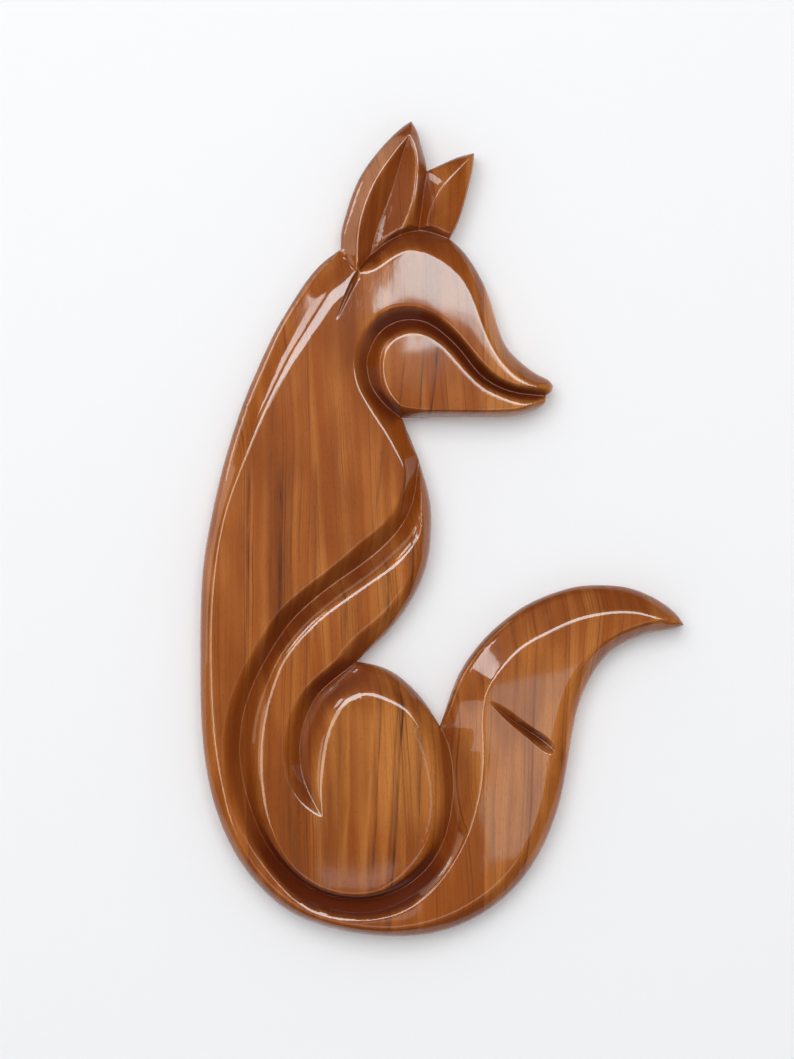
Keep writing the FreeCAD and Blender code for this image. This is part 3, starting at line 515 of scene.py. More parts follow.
# The figure's closed edge, with the doubled points where rails meet taken out.
def figureEdge():
    loop = loopOf(edgeRails)
    apart = np.hypot(*(loop - np.roll(loop, 1, axis=0)).T) > 0.05
    return loop[apart]


# The net's rows: beside the edge as parts of its rounding, and beside the rails; and the least gaps
net = {
    "edgeParts": (0.07, 0.25, 0.52, 1.0),
    "edgeGap": 0.055,
    "partGap": (0.16, 0.3),
    "ridgeOffsets": (0, 0.7, -0.7, 1.4, -1.4, 2.2, -2.2),
    "creaseOffsets": (0.4, -0.4, 0.9, -0.9),
    "cutOffsets": (0.4, -0.4),
    "railEdgeGap": 0.5,
    "railGap": 0.33,
    "fieldStep": 1.5,
    "fieldEdgeGap": 1.0,
    "fieldGap": 0.95,
    "glueStep": 1.2,
    "glueMargin": 3,
    "glueGap": 0.35,
}
cutFloors = ["tailNotchFloor", "napeFloor"]
cutLips = ["tailNotchUpper", "tailNotchLower", "napeLeft", "napeRight"]


# The front of the whole board as one triangle mesh: rows of points follow the edge, the ridges and
# the valleys, a hexagonal field fills the rest, and a constrained Delaunay net joins them.
def frontNet():
    edge = figureEdge()
    after = np.roll(edge, -1, axis=0)
    if (edge[:, 0] * after[:, 1] - after[:, 0] * edge[:, 1]).sum() < 0:
        edge = edge[::-1]
    after = np.roll(edge, -1, axis=0)
    levels = np.arange(edge[:, 1].min() - net["glueMargin"], edge[:, 1].max() + net["glueMargin"],
                       net["glueStep"])
    glue = [np.column_stack([np.full(len(levels), x), levels]) for x in glueLines]
    glue = [line[~crowded(line, edge, net["glueGap"])] for line in glue]
    kept = np.concatenate([edge] + glue)
    links = [np.column_stack([np.arange(len(edge)), np.roll(np.arange(len(edge)), -1)])]
    start = len(edge)
    for line in glue:
        index = np.arange(start, start + len(line))
        links.append(np.column_stack([index[:-1], index[1:]]))
        start += len(line)

    # Keeps the points that are inside and not crowded, and links the neighbours of a row.
    def keep(points, edgeGap, gap, linked=False):
        nonlocal kept
        wanted = inside(points, edge, after) & (nearest(points, edgeRails)[0] > edgeGap)
        wanted &= ~crowded(points, kept, gap)
        if linked:
            index = len(kept) + np.cumsum(wanted) - 1
            pairs = np.flatnonzero(wanted[:-1] & wanted[1:])
            links.append(np.column_stack([index[pairs], index[pairs + 1]]))
        kept = np.concatenate([kept, points[wanted]])

    radius = nearest(edge, edgeRails)[1][:, 1][:, None]
    least, growth = net["partGap"]
    for part in net["edgeParts"]:
        keep(besideLine(edge, part * radius, True), net["edgeGap"], least + growth * part)
    rows = [(cutFloors, (0,)), (cutLips, (0,)), (valleyRails, (0,)), (crestRails, (0,)),
            (cutFloors, net["cutOffsets"]), (flatRails, net["ridgeOffsets"]),
            (crestRails, net["creaseOffsets"]), (valleyRails, net["creaseOffsets"]),
            (cutLips, net["cutOffsets"])]
    for names, offsets in rows:
        for offset in offsets:
            for name in names:
                keep(besideLine(lines[name][:, :2], offset), net["railEdgeGap"], net["railGap"], offset == 0)
    step = net["fieldStep"]
    across = np.arange(edge[:, 0].min(), edge[:, 0].max(), step)
    upward = np.arange(edge[:, 1].min(), edge[:, 1].max(), step * 0.866)    # half the root of three
    field = np.stack(np.meshgrid(across, upward), axis=-1)
    field[1::2, :, 0] += step / 2
    keep(field.reshape(-1, 2), net["fieldEdgeGap"], net["fieldGap"])

    found = delaunay_2d_cdt(kept.tolist(), np.concatenate(links).tolist(), [], 0, 1e-5)
    points, faces = np.array(found[0]), np.array(found[2])
    middles = points[faces].mean(axis=1)
    faces = faces[inside(middles, edge, after)]
    used, faces = np.unique(faces, return_inverse=True)
    points, faces = points[used], faces.reshape(-1, 3)
    return points, faces, edge


# Vectors brought to unit length.
def unit(vectors):
    return vectors / np.maximum(np.linalg.norm(vectors, axis=1), 1e-12)[:, None]


# Cross products of two sides of the given triangles, which point outwards.
def crossOf(points, faces):
    first, second, third = (points[faces[:, corner]] for corner in range(3))
    return np.cross(second - first, third - first)


# Normals of the front: every triangle adds its cross product to its three corners, and the sums are
# brought to unit length.
def frontNormals(solid, faces):
    cross = crossOf(solid, faces)
    normals = np.zeros_like(solid)
    for corner in range(3):
        np.add.at(normals, faces[:, corner], cross)
    return unit(normals)


# Outward direction at the given points: the run of the edge at its closest point, turned right.
def edgeOutward(points, edge):
    ahead = np.roll(edge, -1, axis=0) - np.roll(edge, 1, axis=0)
    ahead /= np.hypot(*ahead.T)[:, None]
    index = np.empty(len(points), int)
    for block in np.array_split(np.arange(len(points)), len(points) // 1000 + 1):
        far = np.hypot(points[block, 0][:, None] - edge[:, 0], points[block, 1][:, None] - edge[:, 1])
        index[block] = far.argmin(axis=1)
    return np.column_stack([ahead[index, 1], -ahead[index, 0]])


# A mesh from point, face and corner-normal arrays in millimetres, put in whole. Points that agree
# to a ten-thousandth become one, and faces that lose a side that way are left out.
def meshFrom(name, points, faces, normals=None, marks=None):
    kept, where = np.unique(np.round(points, 4), axis=0, return_index=True, return_inverse=True)[1:]
    points, faces = points[kept], where.reshape(-1)[faces]
    whole = (faces[:, 0] != faces[:, 1]) & (faces[:, 1] != faces[:, 2]) & (faces[:, 2] != faces[:, 0])
    faces = faces[whole]
    normals = normals[np.repeat(whole, 3)] if normals is not None else None
    mesh = bpy.data.meshes.new(name)
    mesh.vertices.add(len(points))
    mesh.vertices.foreach_set("co", (points * mm).astype(np.float32).ravel())
    mesh.loops.add(3 * len(faces))
    mesh.loops.foreach_set("vertex_index", faces.astype(np.int32).ravel())
    mesh.polygons.add(len(faces))
    mesh.polygons.foreach_set("loop_start", np.arange(0, 3 * len(faces), 3, dtype=np.int32))
    mesh.polygons.foreach_set("use_smooth", np.ones(len(faces), bool))
    mesh.update(calc_edges=True)
    if normals is not None:
        mesh.normals_split_custom_set(normals.tolist())
    # The marks are the hollow shade values, the mask of the painted shade in the wood.
    if marks is not None:
        layer = mesh.attributes.new("hollow", "FLOAT", "POINT")
        layer.data.foreach_set("value", marks[kept].astype(np.float32))
    piece = bpy.data.objects.new(name, mesh)
    bpy.context.scene.collection.objects.link(piece)
    return piece


# Four-sided faces from four arrays of corners, each one as two triangles.
def quads(a, b, c, d):
    return np.concatenate([np.column_stack([a, b, c]), np.column_stack([a, c, d])])


# A round-ended upright slot as a loop of points, anticlockwise seen from the front.
def slotLoop(width, rise, low, count=24):
    turn = np.linspace(0, np.pi, count)
    radius = width / 2
    top = np.column_stack([radius * np.cos(turn), low + rise + radius * np.sin(turn)])
    return np.concatenate([top, np.column_stack([-radius * np.cos(turn), low - radius * np.sin(turn)])])


# What is let in for the steel hanger: the plate's seat, the wall screw's pocket and the pilot holes
hanger = {
    "seatWidth": 16.4,
    "seatRise": 30.0,
    "seatLow": -11.0,
    "seatDepth": 2.0,
    "pocketWidth": 11.0,
    "pocketRise": 8.0,
    "pocketDepth": 10.0,
    "pilotRadius": 1.55,
    "pilotDepth": 12.5,
    "screwLevels": {"hanger_screw_upper": 21.0, "hanger_screw_lower": -13.0},
}


# One stave as a closed shell: its share of the front, a side wall all round with a small chamfer
# at the back, and a flat back, which in the middle stave is let in for the hanger. A side of a
# triangle that no other triangle shares backwards lies on the rim. The chamfer leads the wall in by
# its own depth, but along the glue line it slides on that line.
def stave(name, front, faces, outward, onEdge, sunk=False):
    used, faces = np.unique(faces, return_inverse=True)
    hollow = front["hollow"][used]
    faces = faces.reshape(-1, 3)
    solid, normals = front["solid"][used], front["normals"][used]
    onEdge, outward = onEdge[used], outward[used]
    sides = np.concatenate([faces[:, [0, 1]], faces[:, [1, 2]], faces[:, [2, 0]]])
    size = len(used)
    alone = ~np.isin(sides[:, 0] * size + sides[:, 1], sides[:, 1] * size + sides[:, 0])
    sides = sides[alone]
    rim = np.unique(sides)
    order = np.zeros(size, int)
    order[rim] = np.arange(len(rim))
    a, b = order[sides[:, 0]], order[sides[:, 1]]
    chamfer = board["backChamfer"]
    glued = ~(onEdge[sides[:, 0]] & onEdge[sides[:, 1]])
    seam = np.zeros(len(rim), bool)
    seam[a[glued]] = True
    seam[b[glued]] = True
    inset = np.where(onEdge[rim, None], outward[rim], 0.0)
    least = board["steepestGlue"]
    steep = np.where(np.abs(inset[:, 1]) > least, inset[:, 1], np.where(inset[:, 1] < 0, -least, least))
    inset[seam] = np.column_stack([np.zeros(seam.sum()), np.where(onEdge[rim], 1 / steep, 0)[seam]])
    upper = solid[rim].copy()
    upper[:, 1] = -chamfer
    back = upper - chamfer * np.column_stack([inset[:, 0], np.full(len(rim), -1.0), inset[:, 1]])
    points = [solid, upper, back]
    outer, behind = size + np.arange(len(rim)), size + len(rim) + np.arange(len(rim))
    walls = quads(sides[:, 0], outer[a], outer[b], sides[:, 1])
    bevel = quads(outer[a], behind[a], behind[b], outer[b])
    parts = [faces, walls, bevel]
    wallNormal = np.zeros((size + 2 * len(rim), 3))
    wallNormal[outer] = np.column_stack([outward[rim, 0], np.zeros(len(rim)), outward[rim, 1]])
    wallNormal[rim] = normals[rim]
    solidNow = np.concatenate(points)
    wallCorners = wallNormal[walls]
    gluedWalls = np.tile(glued, 2)
    wallCorners[gluedWalls] = unit(crossOf(solidNow, walls[gluedWalls]))[:, None, :]
    bevelCorners = np.repeat(unit(crossOf(solidNow, bevel))[:, None, :], 3, axis=1)
    corners = [normals[faces], wallCorners, bevelCorners]

    holes = [slotLoop(hanger["seatWidth"], hanger["seatRise"], hanger["seatLow"])] if sunk else []
    backNet, backExtra = flatPart(back[:, [0, 2]], np.column_stack([a, b]), holes)
    start = size + 2 * len(rim)
    look = np.concatenate([behind, start + np.arange(len(backExtra))])
    points.append(np.column_stack([backExtra[:, 0], np.zeros(len(backExtra)), backExtra[:, 1]]))
    parts.append(look[backNet][:, ::-1])
    corners.append(np.broadcast_to((0.0, 1.0, 0.0), (len(backNet), 3, 3)))
    if sunk:
        extra = sunkHanger()
        parts.append(extra[1] + start + len(backExtra))
        points.append(extra[0])
        corners.append(np.repeat(unit(crossOf(*extra))[:, None, :], 3, axis=1))
    allPoints, allFaces = np.concatenate(points), np.concatenate(parts)
    marks = np.concatenate([hollow, np.zeros(len(allPoints) - size)])
    return meshFrom(name, allPoints, allFaces, np.concatenate(corners).reshape(-1, 3), marks)


# A flat area between an outer net of links and holes, as triangles over its own points: a
# constrained Delaunay net whose triangles outside the outer links or in a hole are dropped.
def flatPart(points, links, holes):
    extra = np.concatenate(holes) if holes else np.zeros((0, 2))
    start, allLinks = len(points), [links]
    for hole in holes:
        index = start + np.arange(len(hole))
        allLinks.append(np.column_stack([index, np.roll(index, -1)]))
        start += len(hole)
    every = np.concatenate([points, extra])
    found = delaunay_2d_cdt(every.tolist(), np.concatenate(allLinks).tolist(), [], 0, 1e-7)
    origin = np.array([source[0] if source else -1 for source in found[3]])
    faces = origin[np.array(found[2])]
    middles = every[faces].mean(axis=1)
    wanted = inside(middles, every[links[:, 0]], every[links[:, 1]])
    for hole in holes:
        wanted &= ~inside(middles, hole, np.roll(hole, -1, axis=0))
    return faces[wanted & (faces >= 0).all(axis=1)], extra


# The hollow behind the hanger: walls that drop from one loop's depth to the next, and flat floors.
def sunkHanger():
    turn = np.linspace(0, 2 * np.pi, 24, endpoint=False)
    circle = hanger["pilotRadius"] * np.column_stack([np.cos(turn), np.sin(turn)])
    seat = slotLoop(hanger["seatWidth"], hanger["seatRise"], hanger["seatLow"])
    pocket = slotLoop(hanger["pocketWidth"], hanger["pocketRise"], 0.0)
    pilots = [circle + (0, level) for level in hanger["screwLevels"].values()]
    deep = [hanger["pocketDepth"]] + [hanger["pilotDepth"]] * len(pilots)
    shallow = hanger["seatDepth"]
    points, faces = [], []

    # Adds one loop's wall between two depths, and its flat floor with the holes left open.
    def add(loop, fromDepth, toDepth, holes):
        start = sum(len(block) for block in points)
        size = len(loop)
        points.append(np.column_stack([loop[:, 0], np.full(size, -fromDepth), loop[:, 1]]))
        points.append(np.column_stack([loop[:, 0], np.full(size, -toDepth), loop[:, 1]]))
        a = np.arange(size)
        b = np.roll(a, -1)
        faces.append(start + quads(a + size, b + size, b, a))
        floor, extra = flatPart(loop, np.column_stack([a, b]), holes)
        points.append(np.column_stack([extra[:, 0], np.full(len(extra), -toDepth), extra[:, 1]]))
        faces.append(start + size + floor[:, ::-1])

    add(seat, 0, shallow, [pocket] + pilots)
    for loop, depth in zip([pocket] + pilots, deep):
        add(loop, shallow, depth, [])
    return np.concatenate(points), np.concatenate(faces)


# A countersunk wood screw. Its ring counts run along the thread, the cone and the head's lid.
screw = {
    "length": 12.0,
    "coreRadius": 1.05,
    "threadRadius": 1.5,
    "pitch": 1.25,
    "crestWidth": 0.28,
    "tipLength": 3.0,
    "tipRadius": 0.35,
    "neckRings": 6,
    "neckThread": 0.25,
    "coneStart": 0.3,
    "headRadius": 2.9,
    "headDepth": 1.9,
    "rimDepth": 0.25,
    "rimShares": (1.0, 0.97),
    "rimDepths": (0.12, 0.03),
    "flatShares": (0.93, 0.02),
    "crossWidth": 0.85,
    "crossReach": 1.75,
    "crossDepth": 1.1,
    "crossSlope": (0.16, 0.35),
    "sides": 72,
    "ringCounts": (74, 8, 26),
    "sharpAngle": 40.0,
}


# The screw as one turned shell: rows of rings follow a profile from the tip to the head. On the
# shank the radius adds a crest that fades from the middle of each pitch and shifts with the angle,
# which makes the thread's spiral, and the rings of the lid dip where the driver's cross goes.
def woodScrew(name, level):
    turn = np.linspace(0, 2 * np.pi, screw["sides"], endpoint=False)
    threadRings, coneRings, lidRings = screw["ringCounts"]
    along = np.linspace(screw["length"], screw["headDepth"], threadRings)
    taper = np.clip((screw["length"] - along) / screw["tipLength"], 0, 1)[:, None]
    phase = (along[:, None] / screw["pitch"] - turn / (2 * np.pi)) % 1
    crest = np.clip(1 - np.abs(phase - 0.5) / screw["crestWidth"], 0, 1)
    core = screw["tipRadius"] + (screw["coreRadius"] - screw["tipRadius"]) * taper
    shank = core + (screw["threadRadius"] - screw["coreRadius"]) * crest * taper
    neck = slice(-screw["neckRings"], None)
    shank[neck] = np.minimum(shank[neck], screw["coreRadius"] + screw["neckThread"])
    cone = np.linspace(screw["coreRadius"] + screw["coneStart"], screw["headRadius"], coneRings)
    cone = cone[:, None] + 0 * turn
    coneDepth = np.linspace(screw["headDepth"], screw["rimDepth"], coneRings)
    flatShares = np.linspace(*screw["flatShares"], lidRings)
    lid = screw["headRadius"] * np.concatenate([screw["rimShares"], flatShares])
    lid = lid[:, None] + 0 * turn
    lidDepth = np.concatenate([screw["rimDepths"], np.zeros(lidRings)])
    radius = np.concatenate([shank, cone, lid])
    depth = np.concatenate([along, coneDepth, lidDepth])[:, None] + 0 * turn
    x, z = radius * np.cos(turn), radius * np.sin(turn)
    arms = screw["crossWidth"] / 2 - np.minimum(np.abs(x), np.abs(z))
    sideSlope, endSlope = screw["crossSlope"]
    dip = np.clip(0.5 + arms / sideSlope, 0, 1) * np.clip((screw["crossReach"] - radius) / endSlope, 0, 1)
    isLid = np.arange(len(radius))[:, None] >= len(shank) + len(cone)
    depth = depth + np.where(isLid, screw["crossDepth"] * dip, 0)
    grid = np.stack([x, -depth, z + level], axis=-1).reshape(-1, 3)
    rows, columns = len(radius), len(turn)
    row, column = (axis.ravel() for axis in np.mgrid[0:rows - 1, 0:columns])
    nextColumn = (column + 1) % columns
    faces = quads(row * columns + column, row * columns + nextColumn,
                  (row + 1) * columns + nextColumn, (row + 1) * columns + column)
    ends = np.array([[0, -screw["length"], level], [0, -screw["crossDepth"], level]])
    last = (rows - 1) * columns
    ring = np.arange(columns)
    following = (ring + 1) % columns
    tip = np.column_stack([np.full(columns, len(grid)), following, ring])
    middle = np.column_stack([np.full(columns, len(grid) + 1), last + ring, last + following])
    faces = np.concatenate([faces, tip, middle])
    piece = meshFrom(name, np.concatenate([grid, ends]), faces)
    piece.data.set_sharp_from_angle(angle=math.radians(screw["sharpAngle"]))
    return piece


# The whole front, made once. Its hollow shade value, from 0 on the flats to 1 deep in the carving,
# grows with the depth and with the distance from the edge over the distances to edge and valley, is
# less at the foot of the ears, and is 1 inside the near ear. The wood paints shade into the hollows by it.
tints = {
    "hollowDepth": (0.6, 4.2),
    "hollowShare": (1.6, 0.2),
    "crownHollow": 0.5,
    "earReach": 2.5,
    "edgeWidth": 0.02,
    "edgeTurn": 1.5,
    "edgeLean": -0.3,
}
flatRails = sum(plateaus.values(), [])
glueLines = [(share - board["hangerShares"][0]) * board["width"] for share in board["glueShares"]]
muzzleLevel = (board["muzzleLevelShare"] - board["hangerShares"][1]) * board["height"]

netPoints, netFaces, edgeLoop = frontNet()
netDepth = carvedDepth(netPoints)
solid = np.column_stack([netPoints[:, 0], netDepth - board["thickness"], netPoints[:, 1]])
front = {"solid": solid, "normals": frontNormals(solid, netFaces)}
nearEdge, nearTraits = nearest(netPoints, edgeRails)
nearValley = nearest(netPoints, valleyRails + cutFloors)[0]
offEdge = nearEdge / np.maximum(nearEdge + nearValley, 1e-6)
deepPart = np.clip((netDepth - tints["hollowDepth"][0]) / tints["hollowDepth"][1], 0, 1)
innerPart = np.clip(tints["hollowShare"][0] * offEdge - tints["hollowShare"][1], 0, 1)
atCrown = nearest(netPoints, earFoot)[0] <= nearValley + 1e-6
earRidges = ["earOneLeftRidge", "earOneRightRidge"]
inEar = np.clip(nearest(netPoints, earRidges)[0] / tints["earReach"], 0, 1)
front["hollow"] = np.maximum(deepPart * innerPart * np.where(atCrown, tints["crownHollow"], 1.0),
                             insideLoop(netPoints, earRidges) * inEar)

# On the rim the normals turn flat outwards where the edge is fully rounded, so that the front runs
# smoothly into the side.
onEdge = nearEdge < tints["edgeWidth"]
outward = edgeOutward(netPoints, edgeLoop)
rounded = np.clip((nearTraits[:, 1] - board["mouthRound"]) / tints["edgeTurn"], 0, 1)[onEdge, None]
flatOut = np.column_stack([outward[onEdge, 0], np.full(onEdge.sum(), tints["edgeLean"]), outward[onEdge, 1]])
turned = flatOut * rounded + front["normals"][onEdge] * (1 - rounded)
front["normals"][onEdge] = unit(turned)
print("front net:", len(netPoints), "points,", len(netFaces), "triangles")

# Each triangle belongs to the stave between two glue lines, and right of the last to muzzle or tail
middles = netPoints[netFaces].mean(axis=1)
column = np.searchsorted(glueLines, middles[:, 0])
staveOf = np.where(column < 3, column, np.where(middles[:, 1] > muzzleLevel, 3, 4))
staveNames = ["spine_stave", "back_stave", "centre_stave", "muzzle_stave", "tail_stave"]
pieces = {}
for number, name in enumerate(staveNames):
    piece = stave("carved_" + name, front, netFaces[staveOf == number], outward, onEdge,
                  sunk=name == "centre_stave")
    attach(piece, body)
    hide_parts(name)
    pieces[name] = piece
    print("stave:", name, len(piece.data.polygons), "triangles")
for name, level in hanger["screwLevels"].items():
    piece = woodScrew("turned_" + name, level)
    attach(piece, body)
    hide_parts(name)
    pieces[name] = piece
print("hanger screws made")


# An sRGB hex colour as linear values, by the standard curve.
def colour(code, strength=1.0):
    values = np.array([int(code[digit:digit + 2], 16) / 255 for digit in (1, 3, 5)])
    values = np.where(values <= 0.04045, values / 12.92, ((values + 0.055) / 1.055) ** 2.4)
    return (*(values * strength), 1.0)


# Adds one node with its settings and inputs, and gives the wanted output. Inputs are listed from the
# first socket on, or named. Another node's output is linked, and a constant is set on its socket.
def addNode(tree, kind, inputs=(), output=0, **settings):
    node = tree.nodes.new("ShaderNode" + kind)
    for name, value in settings.items():
        setattr(node, name, value)
    for socket, item in inputs.items() if isinstance(inputs, dict) else enumerate(inputs):
        if isinstance(item, bpy.types.NodeSocket):
            tree.links.new(item, node.inputs[socket])
        else:
            node.inputs[socket].default_value = item
    return node.outputs[output] if len(node.outputs) else node


# A new material with no nodes yet, and the function that adds them to it.
def freshMaterial(name):
    material = bpy.data.materials.new(name)
    material.use_nodes = True
    material.node_tree.nodes.clear()
    return material, partial(addNode, material.node_tree)


# What can be changed on the wood. Lengths and heights are millimetres, edges are where a smooth step
# starts and ends, and colours are of the varnished wood, but for the hollow shade tone, which is painted
# shade, and the end grain's tone, which the hollows also darken as painted shade. A patch of noise has
# a size across, into and along the board, its detail and roughness, and the edges of the step laid over
# it, if any. A band has its width, detail and edges.
teak = {
    "pale": "#BC7434",
    "middle": "#964B0E",
    "deep": "#703810",
    "streak": "#401D0A",
    "golden": "#CB883E",
    # The end grain's tone, laid on slopes across the grain and, as painted shade, more strongly in the
    # hollows
    "endGrainAndShade": "#52200D",
    # The painted shade tone laid into the hollows of the carving
    "hollowTone": "#66260C",
    "patches": {
        "slow": ((48.0, 40.0, 190.0), 1.5, 0.5, None),
        "quick": ((7.0, 9.0, 60.0), 2.0, 0.5, None),
        "strength": ((13.0, 13.0, 120.0), 1.0, 0.5, (0.35, 0.7)),
        "fibre": ((0.40, 0.40, 18.0), 3.0, 0.6, None),
        "pores": ((0.30, 0.30, 3.0), 0.0, 0.5, (0.66, 0.76)),
        "cloud": ((26.0, 26.0, 80.0), 2.5, 0.5, (0.38, 0.72)),
        "wobble": ((9.0, 9.0, 38.0), 1.0, 0.5, None),
        "broken": ((3.0, 3.0, 30.0), 2.0, 0.5, (0.3, 0.62)),
        "coat": ((2.6, 2.6, 5.0), 1.0, 0.5, None),
    },
    "bands": {"broad": (10.0, 1.5, (0.2, 0.8)), "thin": (1.3, 2.0, (0.48, 0.78))},
    "bandRoughness": 0.55,
    "tilt": 0.45,
    "slowWander": 16.0,
    "quickWander": 1.6,
    "lineStrength": (0.20, 0.72),
    "fibreShade": (0.79, 0.40),
    "poreStrength": 0.35,
    "cloudStrength": 0.22,
    "paleParts": {"bands": 0.5, "height": 0.7, "clouds": -0.4, "all": -0.05},
    "wobble": 1.2,
    "brokenLeast": 0.4,
    "streakSides": (-6.0, 0.2, 1.5),
    "streakParts": (0.5, 0.55),
    "streakFade": 10.0,
    "streakStrength": 0.85,
    "endGrainEdges": (0.24, 0.60),
    "endGrainStrength": 0.42,
    "lowEdges": (-305.0, -350.0),
    "chestTopEdges": (-92.0, -118.0),
    "chestLowEdges": (-212.0, -172.0),
    # Painted shade in the hollows: how much it darkens the end grain overall, more at the foot and less at
    # the chest
    "hollowShading": {"all": 0.55, "low": 0.75, "chest": -0.45},
    # How strongly the painted shade tone darkens the hollows
    "hollowStrength": 0.56,
    "woodRoughness": (0.36, 0.12),
    "varnishRoughness": 0.043,
    "rubbedSpot": (20.0, -24.0, -40.0),
    "rubbedEdges": (27.3, 14.7),
    "rubbedRoughness": 0.095,
    "varnishWave": 0.038,
    # How much weaker the varnish's gloss is deep in the hollows, as painted shade on its reflections
    "hollowVarnish": -0.5,
    "dentDepth": 0.12,
    "fibreRise": 0.35,
    "woodRelief": 0.25,
    "filledPore": -0.5,
    "curveSpan": (-400.0, 100.0),
}
# Seed, lean of the grain, how pale it is at heights (mm), and streaks: where one crosses a height,
# its lean, half width, lowest and highest point, and strength, which is negative for a golden one
staveWood = {
    "spine_stave": {"seed": 3.1, "lean": 0.02, "pale": [(-400, 0.3), (100, 0.3)], "streaks": []},
    "back_stave": {"seed": 11.7, "lean": 0.01, "pale": [(-400, 0.15), (-100, 0.2), (100, 0.1)],
                   "streaks": [(-81.0, -180, 0.02, 1.0, -250, -110, 0.72),
                               (-66.0, -150, 0.01, 0.4, -300, -70, 0.40),
                               (-60.5, -165, 0.01, 1.3, -208, -112, 0.90),
                               (-57.0, -165, 0.01, 3.4, -215, -100, 0.28),
                               (-48.5, -165, 0.01, 0.5, -205, -90, 0.45),
                               (-52.0, -320, -0.02, 7.0, -362, -290, 0.42)]},
    "centre_stave": {"seed": 23.4, "lean": 0.05,
                     "pale": [(-400, 0), (-345, 0.05), (-310, 0.66), (-264, 0.8), (-243, 0.25),
                              (-180, 0.5), (-90, 0.3), (100, 0.3)],
                     "streaks": [(-20.0, -297, 0.02, 1.9, -352, -240, -0.45),
                                 (-6.0, -297, 0.05, 1.3, -352, -240, -0.45),
                                 (5.5, -297, 0.05, 1.5, -352, -240, -0.3),
                                 (17.0, -297, 0.04, 1.2, -352, -240, -0.25),
                                 (-24.5, -297, 0.02, 0.7, -365, -240, 0.30),
                                 (-33.0, -330, 0.0, 6.0, -372, -300, 0.36),
                                 (24.0, -297, 0.03, 3.2, -350, -225, 0.35),
                                 (-4.0, -345, 0.0, 5.0, -385, -338, 0.38),
                                 (-18.0, -15, 0.0, 4.5, -45, 12, 0.30),
                                 (-1.2, -297, 0.050, 0.60, -362, -240, 0.65),
                                 (11.0, -302, 0.060, 0.80, -392, -234, 1.0),
                                 (8.2, -302, 0.056, 0.45, -392, -250, 0.45),
                                 (25.0, -297, 0.030, 0.45, -350, -245, 0.5),
                                 (34.5, -297, 0.020, 0.9, -350, -245, 0.45),
                                 (-39.0, -160, 0.01, 0.5, -214, -105, 0.45),
                                 (-20.5, -190, 0.02, 0.8, -218, -165, 0.65),
                                 (5.0, -178, -0.02, 0.9, -198, -160, 0.80),
                                 (20.3, -166, 0.0, 0.9, -186, -148, 0.90),
                                 (15.5, -115, 0.0, 0.8, -132, -98, 0.80),
                                 (-1.0, -125, 0.10, 0.5, -165, -86, 0.35),
                                 (33.5, -53, 0.09, 0.5, -78, -30, 1.3),
                                 (26.0, -53, 0.07, 0.4, -78, -30, 0.9),
                                 (14.0, -53, 0.10, 0.4, -78, -38, 0.8)]},
    "muzzle_stave": {"seed": 37.9, "lean": -0.03, "pale": [(-100, 1.0), (100, 0.85)],
                     "streaks": [(71.0, -50, 0.02, 0.4, -80, -20, 0.45),
                                 (60.0, -50, 0.02, 0.35, -80, -20, 0.35)]},
    "tail_stave": {"seed": 51.2, "lean": -0.04,
                   "pale": [(-400, 0.35), (-240, 0.68), (-190, 0.42), (100, 0.35)],
                   "streaks": [(84.0, -215, -0.02, 0.5, -245, -180, 0.4),
                               (105.0, -200, -0.02, 0.5, -240, -170, 0.4),
                               (70.0, -340, -0.02, 0.9, -390, -300, 0.4)]},
}


